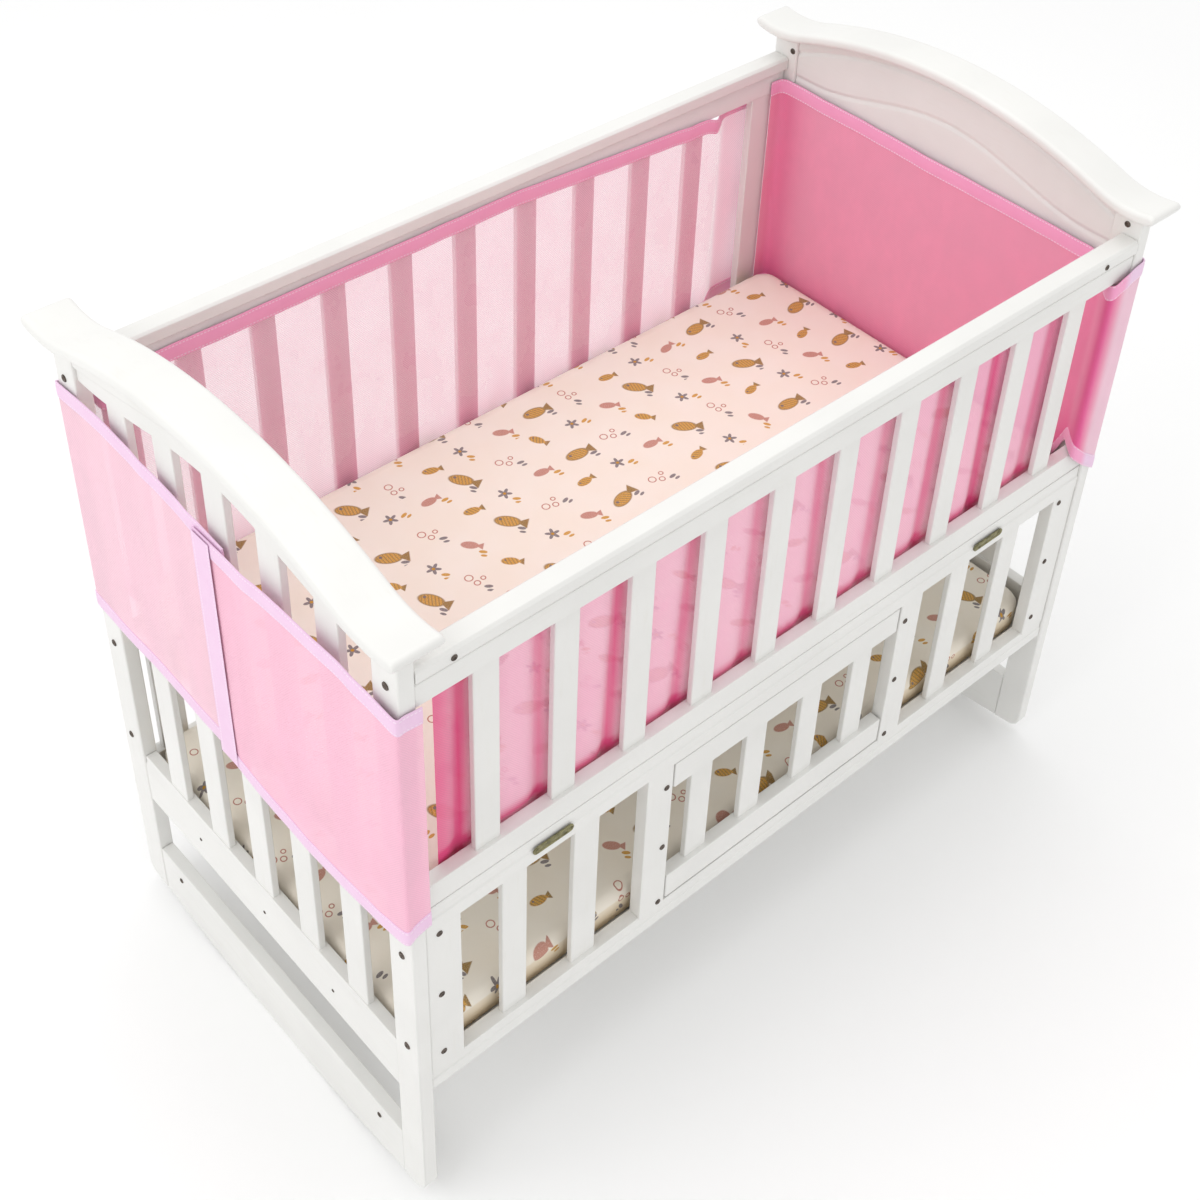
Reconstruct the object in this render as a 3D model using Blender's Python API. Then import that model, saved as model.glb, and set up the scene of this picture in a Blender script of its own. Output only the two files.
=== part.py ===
"""Crib bumper on a crib.

A bumper of sheer mesh panels with bound edges, fitted round a rocking crib.
Metres, +Z up. X runs along the crib from the foot end (-X) to the head end
(+X), Y runs from the front rail (-Y) to the back rail (+Y). The origin is on
the floor under the middle of the crib.
"""

import math

import bmesh
import bpy
from mathutils import Vector

# ---------------------------------------------------------------- sizes
HALF_LENGTH = 0.520          # outer faces of the end posts
HALF_WIDTH = 0.283           # outer faces of the posts, front and back
POST_THICK = 0.018           # along X
POST_WIDE = 0.038            # along Y
POST_TOP = 0.8576
POST_INNER_X = HALF_LENGTH - POST_THICK
POST_INNER_Y = HALF_WIDTH - POST_WIDE
GAP = 0.0003                 # between neighbouring pieces

BOARD_THICK = 0.016          # boards and rails of the two ends
END_MID_X = HALF_LENGTH - POST_THICK / 2
END_SLAT_THICK = 0.009
END_SLAT_WIDE = 0.035
END_SLAT_PITCH = 0.0868
END_SLATS = 5
END_RAIL_LOW = 0.187
END_RAIL_HIGH = 0.262
HEAD_MID_RAIL_LOW = 0.452
HEAD_MID_RAIL_HIGH = 0.4995
HEAD_BOARD_THICK = 0.012
ARCH_BOARD_END = 0.818       # lower edge of the foot arch board at the posts
ARCH_BOARD_RISE = 0.033      # and how far it lifts at the middle

ROCKER_RADIUS = 1.45
ROCKER_FLAT = 0.030          # half width of the flat spot it stands on
ROCKER_TOP = 0.092

CAP_WIDE = 0.055             # arched cap, along X
CAP_THICK = 0.014
CAP_TIP = 0.303              # half span, along Y
CAP_BASE = 0.866
CAP_RISE = 0.053
CAP_HALF_ARCH = 0.264
CAP_TURN = 0.227             # where the arch turns into the flared tip
CAP_FLARE = 7.9              # curvature of the flare

RAIL_FACE = 0.281            # outer face of the long rails
RAIL_BACK = 0.263            # inner face of the long rails
LONG_END = POST_INNER_X - GAP
TOP_RAIL_LOW = 0.782
TOP_RAIL_HIGH = 0.812
CAP_RAIL_HIGH = 0.829
CAP_RAIL_OUT = 0.2835
CAP_RAIL_IN = 0.2575
UPPER_LOW_RAIL = (0.4985, 0.530)
LOWER_TOP_RAIL = (0.464, 0.4982)
BOTTOM_RAIL = (0.203, 0.2325)
SLAT_WIDE = 0.030
SLAT_OUT = 0.274             # slat faces, between the rail faces
SLAT_IN = 0.266
SLAT_LAP = 0.006             # how far a slat is let into a rail
FRONT_SLATS = 10
FRONT_PITCH = 0.0934
BACK_SLATS = 9
BACK_PITCH = 0.0914
BACK_FIRST = -0.3825
BACK_STILE = (0.449, 0.484)

# lower front frame: (low x, high x) of each upright, right half
LOWER_UPRIGHTS = (
    ("gate_stile", 0.1790, 0.2155),
    ("inner_slat", 0.2759, 0.3095),
    ("outer_slat", 0.3716, 0.4034),
    ("end_stile", 0.4596, LONG_END),
)
GATE_HALF = 0.1765
GATE_LOW = (0.2365, 0.2740)
GATE_HIGH = (0.4236, 0.4610)
GATE_SLATS = (0.044, 0.128)
GATE_SLAT_WIDE = 0.032

DECK_HIGH = 0.4640
DECK_THICK = 0.012
MATTRESS_TOP = 0.5140
LOWER_DECK_HIGH = 0.2150
LOWER_MATTRESS_TOP = 0.2650
MATTRESS_X = (-0.4990, 0.4945)
MATTRESS_HALF_Y = 0.2555
MATTRESS_CORNER = 0.030
MATTRESS_EDGE = 0.010

MESH_THICK = 0.0012
BINDING_THICK = 0.0022
BINDING_HIGH = 0.020
BINDING_GAP = 0.0006         # between a mesh edge and its binding, in height
STANDOFF = 0.0028            # from a hard face to the middle of the mesh
INSIDE_Y = RAIL_BACK - STANDOFF - 0.0004
OUTSIDE_Y = HALF_WIDTH + STANDOFF
OUTSIDE_X = HALF_LENGTH + STANDOFF
HEAD_X = POST_INNER_X - STANDOFF - 0.0003
PANEL_LOW = 0.4770
PANEL_HIGH = 0.8000
SQUEEZE_LOW = 0.5330         # where the cloth passes between the rails
SQUEEZE_HIGH = 0.7785

PLATE_LONG = 0.052
PLATE_HIGH = 0.010
PLATE_THICK = 0.0014


# ------------------------------------------------------------ materials
def material(name, colour, roughness, metallic=0.0):
    mat = bpy.data.materials.new(name)
    mat.use_nodes = True
    shader = mat.node_tree.nodes["Principled BSDF"]
    shader.inputs["Base Color"].default_value = (*colour, 1.0)
    shader.inputs["Roughness"].default_value = roughness
    shader.inputs["Metallic"].default_value = metallic
    return mat


FINISHES = {
    "paint": ((0.88, 0.87, 0.84), 0.45, 0.0),
    "sheet": ((0.93, 0.80, 0.67), 0.85, 0.0),
    "mesh": ((0.86, 0.42, 0.57), 0.90, 0.0),
    "binding": ((0.80, 0.52, 0.76), 0.70, 0.0),
    "brass": ((0.42, 0.40, 0.22), 0.40, 0.9),
}


def clear_scene():
    for obj in list(bpy.data.objects):
        bpy.data.objects.remove(obj, do_unlink=True)


def add_object(name, bm, finish, smooth=None):
    bmesh.ops.recalc_face_normals(bm, faces=bm.faces)
    mesh = bpy.data.meshes.new(name)
    bm.to_mesh(mesh)
    bm.free()
    obj = bpy.data.objects.new(name, mesh)
    bpy.context.scene.collection.objects.link(obj)
    colour, roughness, metallic = FINISHES[finish]
    mesh.materials.append(material(name + "_" + finish, colour, roughness, metallic))
    if smooth is not None:
        mesh.shade_smooth()
        mesh.set_sharp_from_angle(angle=math.radians(smooth))
    return obj


# --------------------------------------------------------- basic solids
def box(bm, x_range, y_range, z_range):
    low = Vector((x_range[0], y_range[0], z_range[0]))
    high = Vector((x_range[1], y_range[1], z_range[1]))
    middle = (low + high) / 2
    made = bmesh.ops.create_cube(bm, size=1.0)
    size = high - low
    for vert in made["verts"]:
        vert.co = Vector(vert.co[i] * size[i] + middle[i] for i in range(3))


def prism(bm, outline, axis, low, high):
    """Outline of (u, v) points, pushed from low to high along the axis."""
    def place(point, depth):
        if axis == "x":
            return Vector((depth, point[0], point[1]))
        if axis == "y":
            return Vector((point[0], depth, point[1]))
        return Vector((point[0], point[1], depth))
    near = [bm.verts.new(place(p, low)) for p in outline]
    far = [bm.verts.new(place(p, high)) for p in outline]
    bm.faces.new(near)
    bm.faces.new(far)
    count = len(outline)
    for i in range(count):
        j = (i + 1) % count
        bm.faces.new((near[i], near[j], far[j], far[i]))


def join_boxes(name, boxes, finish):
    """One closed body from boxes that lap into each other."""
    base = bmesh.new()
    box(base, *boxes[0])
    obj = add_object(name, base, finish)
    others = bmesh.new()
    for item in boxes[1:]:
        box(others, *item)
    tool = add_object(name + "_tool", others, finish)
    tool.hide_render = True
    tool.display_type = "WIRE"
    union = obj.modifiers.new("joined", "BOOLEAN")
    union.operation = "UNION"
    union.solver = "EXACT"
    union.use_self = True
    union.object = tool
    return obj


def mirrored(y_range):
    return (-y_range[1], -y_range[0])


# ------------------------------------------------------- curved outlines
def cap_height(y):
    """Top of the arched cap: a low arch whose tips flare up again."""
    y = abs(y)
    if y <= CAP_TURN:
        return CAP_BASE + CAP_RISE * (1 - (y / CAP_HALF_ARCH) ** 2)
    start = CAP_BASE + CAP_RISE * (1 - (CAP_TURN / CAP_HALF_ARCH) ** 2)
    slope = -2 * CAP_RISE * CAP_TURN / CAP_HALF_ARCH ** 2
    run = y - CAP_TURN
    return start + slope * run + 0.5 * CAP_FLARE * run ** 2


def arch_board_height(y):
    return ARCH_BOARD_END + ARCH_BOARD_RISE * (0.5 + 0.5 * math.cos(math.pi * y / POST_INNER_Y))


def rocker_height(y):
    run = max(0.0, abs(y) - ROCKER_FLAT)
    return ROCKER_RADIUS - math.sqrt(ROCKER_RADIUS ** 2 - run ** 2)


def spread(low, high, count):
    return [low + (high - low) * i / (count - 1) for i in range(count)]


# -------------------------------------------------------- crib: the ends
def build_post(name, side_x, side_y):
    inner, outer = POST_INNER_Y, HALF_WIDTH
    foot = rocker_height(inner)
    round_off = 0.010
    outline = [
        (inner, foot),
        (outer - round_off, rocker_height(outer - round_off)),
        (outer - 0.003, rocker_height(outer) + 0.004),
        (outer, rocker_height(outer) + 0.011),
        (outer, POST_TOP),
        (inner, POST_TOP),
    ]
    outline = [(side_y * y, z) for y, z in outline]
    x_low, x_high = sorted((side_x * POST_INNER_X, side_x * HALF_LENGTH))
    bm = bmesh.new()
    prism(bm, outline, "x", x_low, x_high)
    add_object(name, bm, "paint")


def build_rocker(name, side_x):
    reach = POST_INNER_Y - GAP
    ys = [-reach, -0.19, -0.14, -0.085, -ROCKER_FLAT, ROCKER_FLAT, 0.085, 0.14, 0.19, reach]
    outline = [(y, rocker_height(y)) for y in ys] + [(reach, ROCKER_TOP), (-reach, ROCKER_TOP)]
    middle = side_x * END_MID_X
    bm = bmesh.new()
    prism(bm, outline, "x", middle - BOARD_THICK / 2, middle + BOARD_THICK / 2)
    add_object(name, bm, "paint")


def build_cap(name, side_x):
    ys = spread(-CAP_TIP, CAP_TIP, 31)
    tops = [(y, cap_height(y)) for y in ys]
    unders = [(y, cap_height(y) - CAP_THICK) for y in reversed(ys)]
    middle = side_x * END_MID_X
    bm = bmesh.new()
    prism(bm, tops + unders, "x", middle - CAP_WIDE / 2, middle + CAP_WIDE / 2)
    obj = add_object(name, bm, "paint", smooth=30)
    bevel = obj.modifiers.new("eased", "BEVEL")
    bevel.width = 0.004
    bevel.segments = 1
    bevel.limit_method = "ANGLE"
    bevel.angle_limit = math.radians(50)


def end_slats(middle, low, high):
    half = END_SLAT_WIDE / 2
    first = -END_SLAT_PITCH * (END_SLATS - 1) / 2
    made = []
    for i in range(END_SLATS):
        y = first + i * END_SLAT_PITCH
        x_range = (middle - END_SLAT_THICK / 2, middle + END_SLAT_THICK / 2)
        made.append((x_range, (y - half, y + half), (low, high)))
    return made


def build_foot_slats():
    middle = -END_MID_X
    reach = POST_INNER_Y - GAP
    ys = spread(-reach, reach, 25)
    outline = [(y, arch_board_height(y)) for y in ys]
    outline += [(y, cap_height(y) - CAP_THICK - 0.0006) for y in reversed(ys)]
    bm = bmesh.new()
    prism(bm, outline, "x", middle - BOARD_THICK / 2, middle + BOARD_THICK / 2)
    obj = add_object("foot_slats", bm, "paint")
    tool_mesh = bmesh.new()
    board = (middle - BOARD_THICK / 2, middle + BOARD_THICK / 2)
    box(tool_mesh, board, (-reach, reach), (END_RAIL_LOW, END_RAIL_HIGH))
    for item in end_slats(middle, END_RAIL_HIGH - SLAT_LAP, ARCH_BOARD_END + ARCH_BOARD_RISE + 0.004):
        box(tool_mesh, *item)
    tool = add_object("foot_slats_tool", tool_mesh, "paint")
    tool.hide_render = True
    tool.display_type = "WIRE"
    union = obj.modifiers.new("joined", "BOOLEAN")
    union.operation = "UNION"
    union.solver = "EXACT"
    union.use_self = True
    union.object = tool


def build_head():
    middle = END_MID_X
    reach = POST_INNER_Y - GAP
    board = (middle - BOARD_THICK / 2, middle + BOARD_THICK / 2)
    boxes = [
        (board, (-reach, reach), (END_RAIL_LOW, END_RAIL_HIGH)),
        (board, (-reach, reach), (HEAD_MID_RAIL_LOW, HEAD_MID_RAIL_HIGH)),
    ]
    boxes += end_slats(middle, END_RAIL_HIGH - SLAT_LAP, HEAD_MID_RAIL_LOW + SLAT_LAP)
    join_boxes("head_slats", boxes, "paint")
    ys = spread(-reach, reach, 25)
    low = HEAD_MID_RAIL_HIGH + GAP
    outline = [(-reach, low), (reach, low)]
    outline += [(y, cap_height(y) - CAP_THICK - 0.0006) for y in reversed(ys)]
    bm = bmesh.new()
    half = HEAD_BOARD_THICK / 2
    prism(bm, outline, "x", middle - half, middle + half)
    add_object("head_board", bm, "paint")


# -------------------------------------------------- crib: the long sides
def slat_box(x, low, high, side_y, wide=SLAT_WIDE):
    faces = (SLAT_IN, SLAT_OUT) if side_y > 0 else mirrored((SLAT_IN, SLAT_OUT))
    return ((x - wide / 2, x + wide / 2), faces, (low, high))


def rail_box(side_y, z_range, out=RAIL_FACE, back=RAIL_BACK, half=LONG_END):
    faces = (back, out) if side_y > 0 else mirrored((back, out))
    return ((-half, half), faces, z_range)


def build_front_upper():
    boxes = [
        rail_box(-1, (TOP_RAIL_LOW, TOP_RAIL_HIGH)),
        rail_box(-1, (TOP_RAIL_HIGH - 0.0015, CAP_RAIL_HIGH), CAP_RAIL_OUT, CAP_RAIL_IN, LONG_END - 0.0001),
        rail_box(-1, UPPER_LOW_RAIL, RAIL_FACE - 0.0025, RAIL_BACK),
    ]
    first = -FRONT_PITCH * (FRONT_SLATS - 1) / 2
    for i in range(FRONT_SLATS):
        x = first + i * FRONT_PITCH
        boxes.append(slat_box(x, UPPER_LOW_RAIL[1] - SLAT_LAP, TOP_RAIL_LOW + SLAT_LAP, -1))
    join_boxes("front_rail_frame", boxes, "paint")


def build_front_lower():
    boxes = [rail_box(-1, LOWER_TOP_RAIL), rail_box(-1, BOTTOM_RAIL)]
    low = BOTTOM_RAIL[1] - SLAT_LAP
    high = LOWER_TOP_RAIL[0] + SLAT_LAP
    for kind, near, far in LOWER_UPRIGHTS:
        stile = kind.endswith("stile")
        out = RAIL_FACE - 0.0004 if stile else SLAT_OUT
        back = RAIL_BACK + 0.0004 if stile else SLAT_IN
        edge = far - 0.0002 if kind == "end_stile" else far
        for side in (-1, 1):
            x_range = tuple(sorted((side * near, side * edge)))
            boxes.append((x_range, mirrored((back, out)), (low, high)))
    join_boxes("front_lower_frame", boxes, "paint")
    gate = [
        rail_box(-1, GATE_LOW, RAIL_FACE - 0.001, RAIL_BACK + 0.001, GATE_HALF),
        rail_box(-1, GATE_HIGH, RAIL_FACE - 0.001, RAIL_BACK + 0.001, GATE_HALF),
    ]
    for side in (-1, 1):
        for x in GATE_SLATS:
            gate.append(slat_box(side * x, GATE_LOW[1] - SLAT_LAP, GATE_HIGH[0] + SLAT_LAP, -1, GATE_SLAT_WIDE))
    join_boxes("front_gate", gate, "paint")


def build_back():
    boxes = [
        rail_box(1, (TOP_RAIL_LOW, TOP_RAIL_HIGH)),
        rail_box(1, (TOP_RAIL_HIGH - 0.0015, CAP_RAIL_HIGH), CAP_RAIL_OUT, CAP_RAIL_IN, LONG_END - 0.0001),
        rail_box(1, BOTTOM_RAIL),
    ]
    low = BOTTOM_RAIL[1] - SLAT_LAP
    high = TOP_RAIL_LOW + SLAT_LAP
    for i in range(BACK_SLATS):
        boxes.append(slat_box(BACK_FIRST + i * BACK_PITCH, low, high, 1))
    near, far = BACK_STILE
    for side in (-1, 1):
        boxes.append((tuple(sorted((side * near, side * far))), (SLAT_IN - 0.001, SLAT_OUT + 0.002), (low, high)))
    join_boxes("back_rail_frame", boxes, "paint")


# ----------------------------------------------- decks, mattresses, plates
def rounded_rectangle(x_range, half_y, radius, steps=4):
    corners = (
        (x_range[1] - radius, half_y - radius, 0),
        (x_range[0] + radius, half_y - radius, 90),
        (x_range[0] + radius, -half_y + radius, 180),
        (x_range[1] - radius, -half_y + radius, 270),
    )
    outline = []
    for x, y, start in corners:
        for i in range(steps + 1):
            angle = math.radians(start + 90 * i / steps)
            outline.append((x + radius * math.cos(angle), y + radius * math.sin(angle)))
    return outline


def build_mattress(name, low, high):
    """A flat pad with softened corners, top and bottom edges."""
    levels = (
        (low, MATTRESS_EDGE * 0.6),
        (low + MATTRESS_EDGE * 0.6, 0.0),
        (high - MATTRESS_EDGE, 0.0),
        (high - MATTRESS_EDGE * 0.3, MATTRESS_EDGE * 0.3),
        (high, MATTRESS_EDGE),
    )
    bm = bmesh.new()
    rings = []
    for z, inset in levels:
        x_range = (MATTRESS_X[0] + inset, MATTRESS_X[1] - inset)
        outline = rounded_rectangle(x_range, MATTRESS_HALF_Y - inset, MATTRESS_CORNER - inset)
        rings.append([bm.verts.new((x, y, z)) for x, y in outline])
    for lower, upper in zip(rings, rings[1:]):
        for i in range(len(lower)):
            j = (i + 1) % len(lower)
            bm.faces.new((lower[i], lower[j], upper[j], upper[i]))
    bm.faces.new(rings[0])
    bm.faces.new(rings[-1])
    add_object(name, bm, "sheet", smooth=40)


def build_deck(name, high):
    bm = bmesh.new()
    reach = RAIL_BACK - 0.002
    box(bm, (-LONG_END + 0.001, LONG_END - 0.001), (-reach, reach), (high - DECK_THICK, high - GAP))
    add_object(name, bm, "paint")


def build_plate(name, x):
    """Slim round-ended plate on the face of the mid rail."""
    z = (LOWER_TOP_RAIL[0] + LOWER_TOP_RAIL[1]) / 2
    radius = PLATE_HIGH / 2
    outline = []
    for side in (1, -1):
        for i in range(7):
            angle = math.radians(-90 + 180 * i / 6)
            u = side * (PLATE_LONG / 2 - radius) + side * radius * math.cos(angle)
            outline.append((x + u, z + side * radius * math.sin(angle)))
    bm = bmesh.new()
    face = -RAIL_FACE - GAP
    prism(bm, outline, "y", face - PLATE_THICK, face)
    add_object(name, bm, "brass")


# ---------------------------------------------------------------- bumper
def arc(centre, radius, start, end, steps):
    """Points on an arc, angles in degrees, ends included."""
    points = []
    for i in range(steps + 1):
        angle = math.radians(start + (end - start) * i / steps)
        points.append((centre[0] + radius * math.cos(angle), centre[1] + radius * math.sin(angle)))
    return points


def resample(points, step):
    """Split the straight runs of a route so that no piece is longer than step."""
    out = [points[0]]
    for a, b in zip(points, points[1:]):
        length = math.hypot(b[0] - a[0], b[1] - a[1])
        parts = max(1, math.ceil(length / step))
        for i in range(1, parts + 1):
            out.append((a[0] + (b[0] - a[0]) * i / parts, a[1] + (b[1] - a[1]) * i / parts))
    return out


def lengths_along(points):
    total = [0.0]
    for a, b in zip(points, points[1:]):
        total.append(total[-1] + math.hypot(b[0] - a[0], b[1] - a[1]))
    return total


def reading(table, distance, column):
    """Straight-line reading of a table whose first column is the distance."""
    if distance <= table[0][0]:
        return table[0][column]
    for low, high in zip(table, table[1:]):
        if distance <= high[0]:
            share = (distance - low[0]) / (high[0] - low[0])
            return low[column] + (high[column] - low[column]) * share
    return table[-1][column]


def wave(distance, height_share, folds):
    """How far the cloth stands off its route: shallow troughs and ridges."""
    push = 0.0
    for place, wide, depth, lean in folds:
        off = (distance - place - lean * (height_share - 0.5)) / wide
        push += depth * math.exp(-off * off)
    return push


def ribbon(name, route, edges, finish, thick, rows, folds=(), low_cut=0.0, high_cut=0.0, band=None):
    """A standing sheet along a plan route.

    edges rows are (distance, low z, high z). band is None for the sheet between the
    bindings, "high" or "low" for a binding. folds rows are (distance, width, depth, lean).
    """
    distances = lengths_along(route)
    count = len(route)
    bm = bmesh.new()
    sheets = []
    for i, (x, y) in enumerate(route):
        before = route[max(0, i - 1)]
        after = route[min(count - 1, i + 1)]
        along = Vector((after[0] - before[0], after[1] - before[1], 0.0)).normalized()
        side = Vector((-along.y, along.x, 0.0))
        if 0 < i < count - 1:
            step = Vector((x - before[0], y - before[1], 0.0)).normalized()
            side = side / max(0.6, step.dot(along))
        low = reading(edges, distances[i], 1)
        high = reading(edges, distances[i], 2)
        full_low, full_high = low, high
        if band == "high":
            low = high - BINDING_HIGH
        elif band == "low":
            high = low + BINDING_HIGH
        else:
            low = low + low_cut
            high = high - high_cut
        pair = []
        for face in (-0.5, 0.5):
            column = []
            for row in range(rows + 1):
                z = low + (high - low) * row / rows
                share = (z - full_low) / (full_high - full_low)
                push = wave(distances[i], share, folds)
                place = Vector((x, y, z)) + side * (face * thick + push)
                column.append(bm.verts.new(place))
            pair.append(column)
        sheets.append(pair)
    for (near_a, near_b), (far_a, far_b) in zip(sheets, sheets[1:]):
        for row in range(rows):
            bm.faces.new((near_a[row], far_a[row], far_a[row + 1], near_a[row + 1]))
            bm.faces.new((near_b[row], near_b[row + 1], far_b[row + 1], far_b[row]))
        bm.faces.new((near_a[0], near_b[0], far_b[0], far_a[0]))
        bm.faces.new((near_a[-1], far_a[-1], far_b[-1], near_b[-1]))
    for pair in (sheets[0], sheets[-1]):
        for row in range(rows):
            bm.faces.new((pair[0][row], pair[0][row + 1], pair[1][row + 1], pair[1][row]))
    add_object(name, bm, finish, smooth=40)


def panel_set(stem, route, edges, folds, top=True, bottom=True, rows=4):
    """A mesh panel with a binding along its top edge and along its bottom edge."""
    cut = BINDING_HIGH + BINDING_GAP
    ribbon(stem + "_mesh", route, edges, "mesh", MESH_THICK, rows, folds,
           cut if bottom else 0.0, cut if top else 0.0)
    if top:
        ribbon(stem + "_top_binding", route, edges, "binding", BINDING_THICK, 1, folds, band="high")
    if bottom:
        ribbon(stem + "_bottom_binding", route, edges, "binding", BINDING_THICK, 1, folds, band="low")


def build_foot_panels():
    """Two lengths over the outside of the foot end, lapped at the middle."""
    corner = 0.004
    lap_out = 0.0036
    far_x = -OUTSIDE_X
    # far length: from behind the back-left post, round it, to the middle
    far_route = [(-0.4880, OUTSIDE_Y)]
    far_route += arc((far_x + corner, OUTSIDE_Y - corner), corner, 90, 180, 3)
    far_route += [(far_x, -0.020)]
    far_route = resample(far_route, 0.030)
    far_edges = (
        (0.000, 0.492, 0.775),
        (0.034, 0.486, 0.798),
        (0.120, 0.486, 0.806),
        (0.220, 0.483, 0.799),
        (0.345, 0.476, 0.7875),
    )
    far_folds = (
        (0.120, 0.040, -0.0016, 0.02),
        (0.230, 0.050, -0.0010, -0.03),
    )
    panel_set("foot_far", far_route, far_edges, far_folds)
    # near length: from the middle, round the front-left post, onto its front face
    near_x = far_x - lap_out
    near_corner = corner + lap_out
    near_route = [(near_x, 0.026)]
    near_route += arc((near_x + near_corner, -OUTSIDE_Y + corner), near_corner, 180, 230, 2)
    near_route += arc((far_x + corner + 0.002, -OUTSIDE_Y + corner + 0.0005), corner, 250, 270, 1)
    near_route += [(-0.4985, -OUTSIDE_Y)]
    near_route = resample(near_route, 0.030)
    near_edges = (
        (0.000, 0.476, 0.786),
        (0.060, 0.470, 0.786),
        (0.150, 0.459, 0.793),
        (0.230, 0.466, 0.795),
        (0.300, 0.473, 0.789),
        (0.335, 0.486, 0.786),
    )
    near_folds = (
        (0.090, 0.045, -0.0014, 0.03),
        (0.200, 0.060, -0.0010, -0.04),
    )
    panel_set("foot_near", near_route, near_edges, near_folds)
    # the lap: a flat closing strip down the end of the near length
    strip_route = [(near_x - 0.0024, 0.0255), (near_x - 0.0024, -0.0045)]
    strip_edges = ((0.0, 0.4775, 0.7845), (0.030, 0.4765, 0.7845))
    ribbon("foot_closing_strip", strip_route, strip_edges, "binding", MESH_THICK, 1)


def build_back_panel():
    """Inside the back slats, out past the last slat and behind the stile."""
    route = [(-0.4880, 0.2790), (-0.4880, INSIDE_Y + 0.006)]
    route += arc((-0.4820, INSIDE_Y + 0.006), 0.006, 180, 270, 2)
    route += [(0.3820, INSIDE_Y), (0.4140, OUTSIDE_Y - 0.0035), (0.4215, OUTSIDE_Y), (0.4700, OUTSIDE_Y)]
    route = resample(route, 0.048)
    edges = (
        (0.000, SQUEEZE_LOW - 0.05, SQUEEZE_HIGH - 0.004),
        (0.024, SQUEEZE_LOW - 0.05, SQUEEZE_HIGH - 0.004),
        (0.065, PANEL_LOW, PANEL_HIGH),
        (0.560, PANEL_LOW, PANEL_HIGH + 0.003),
        (0.872, PANEL_LOW, 0.7860),
        (0.886, PANEL_LOW, SQUEEZE_HIGH),
        (0.920, PANEL_LOW - 0.007, SQUEEZE_HIGH),
        (0.980, PANEL_LOW - 0.007, SQUEEZE_HIGH - 0.001),
    )
    folds = (
        (0.300, 0.060, 0.0008, 0.03),
        (0.560, 0.050, 0.0010, -0.03),
    )
    panel_set("back", route, edges, folds)


def build_head_panel():
    """From the back corner, inside the head board, out past the last front slat, round the post."""
    corner = 0.008
    route = [(0.4775, INSIDE_Y)]
    route += arc((HEAD_X - corner, INSIDE_Y - corner), corner, 90, 0, 3)
    route += [(HEAD_X, -INSIDE_Y + 0.020), (HEAD_X - 0.003, -INSIDE_Y + 0.007), (0.4850, -0.2625)]
    route += [(0.4700, -0.2790), (0.4690, -OUTSIDE_Y + 0.0005), (0.4740, -OUTSIDE_Y - 0.0016)]
    route += [(0.4985, -OUTSIDE_Y)]
    route += arc((OUTSIDE_X - 0.004, -OUTSIDE_Y + 0.004), 0.004, 270, 360, 3)
    route += [(OUTSIDE_X, -0.2050)]
    route = resample(route, 0.045)
    marks = lengths_along(route)
    total = marks[-1]
    inside = next(d for d, p in zip(marks, route) if p[1] < INSIDE_Y - 0.004)
    leaving = next(d for d, p in zip(marks, route) if p[1] < -INSIDE_Y + 0.012)
    outside = next(d for d, p in zip(marks, route) if p[1] < -OUTSIDE_Y + 0.001)
    edges = (
        (0.000, PANEL_LOW, PANEL_HIGH),
        (inside + 0.250, PANEL_LOW, PANEL_HIGH - 0.003),
        (leaving - 0.020, PANEL_LOW, PANEL_HIGH - 0.006),
        (leaving + 0.003, SQUEEZE_LOW, SQUEEZE_HIGH),
        (outside - 0.006, SQUEEZE_LOW, SQUEEZE_HIGH),
        (outside, SQUEEZE_LOW - 0.006, SQUEEZE_HIGH + 0.008),
        (outside + 0.018, 0.5100, 0.7910),
        (outside + 0.062, 0.4790, 0.7990),
        (total, 0.4770, 0.7970),
    )
    folds = ((inside + 0.140, 0.070, 0.0008, 0.02), (inside + 0.380, 0.050, 0.0008, -0.02))
    panel_set("head", route, edges, folds)


def build_front_panel():
    """Its own shorter length, inside the front slats."""
    route = resample([(-0.4700, -INSIDE_Y), (0.4560, -INSIDE_Y)], 0.046)
    edges = (
        (0.000, PANEL_LOW + 0.004, PANEL_HIGH - 0.004),
        (0.300, PANEL_LOW, PANEL_HIGH),
        (0.926, PANEL_LOW + 0.003, PANEL_HIGH - 0.002),
    )
    folds = (
        (0.210, 0.050, 0.0008, 0.03),
        (0.480, 0.060, 0.0010, -0.02),
        (0.760, 0.050, 0.0008, 0.03),
    )
    panel_set("front", route, edges, folds)


def build():
    clear_scene()
    for name, side_x, side_y in (
        ("post_foot_front", -1, -1),
        ("post_foot_back", -1, 1),
        ("post_head_front", 1, -1),
        ("post_head_back", 1, 1),
    ):
        build_post(name, side_x, side_y)
    build_rocker("foot_rocker", -1)
    build_rocker("head_rocker", 1)
    build_cap("foot_cap", -1)
    build_cap("head_cap", 1)
    build_foot_slats()
    build_head()
    build_front_upper()
    build_front_lower()
    build_back()
    build_deck("deck", DECK_HIGH)
    build_deck("lower_deck", LOWER_DECK_HIGH)
    build_mattress("mattress", DECK_HIGH, MATTRESS_TOP)
    build_mattress("lower_mattress", LOWER_DECK_HIGH, LOWER_MATTRESS_TOP)
    build_plate("slot_plate_left", -0.3455)
    build_plate("slot_plate_right", 0.3255)
    build_foot_panels()
    build_back_panel()
    build_head_panel()
    build_front_panel()


build()
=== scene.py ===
"""Crib bumper on a crib: the looks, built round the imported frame.

Metres, +Z up. X runs from the foot end (-X) to the head end (+X), Y from the
front (-Y) to the back (+Y). Every piece rides on the one body, "root".
"""

import math

import bmesh
import bpy
from mathutils import Matrix, Vector, noise


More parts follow.
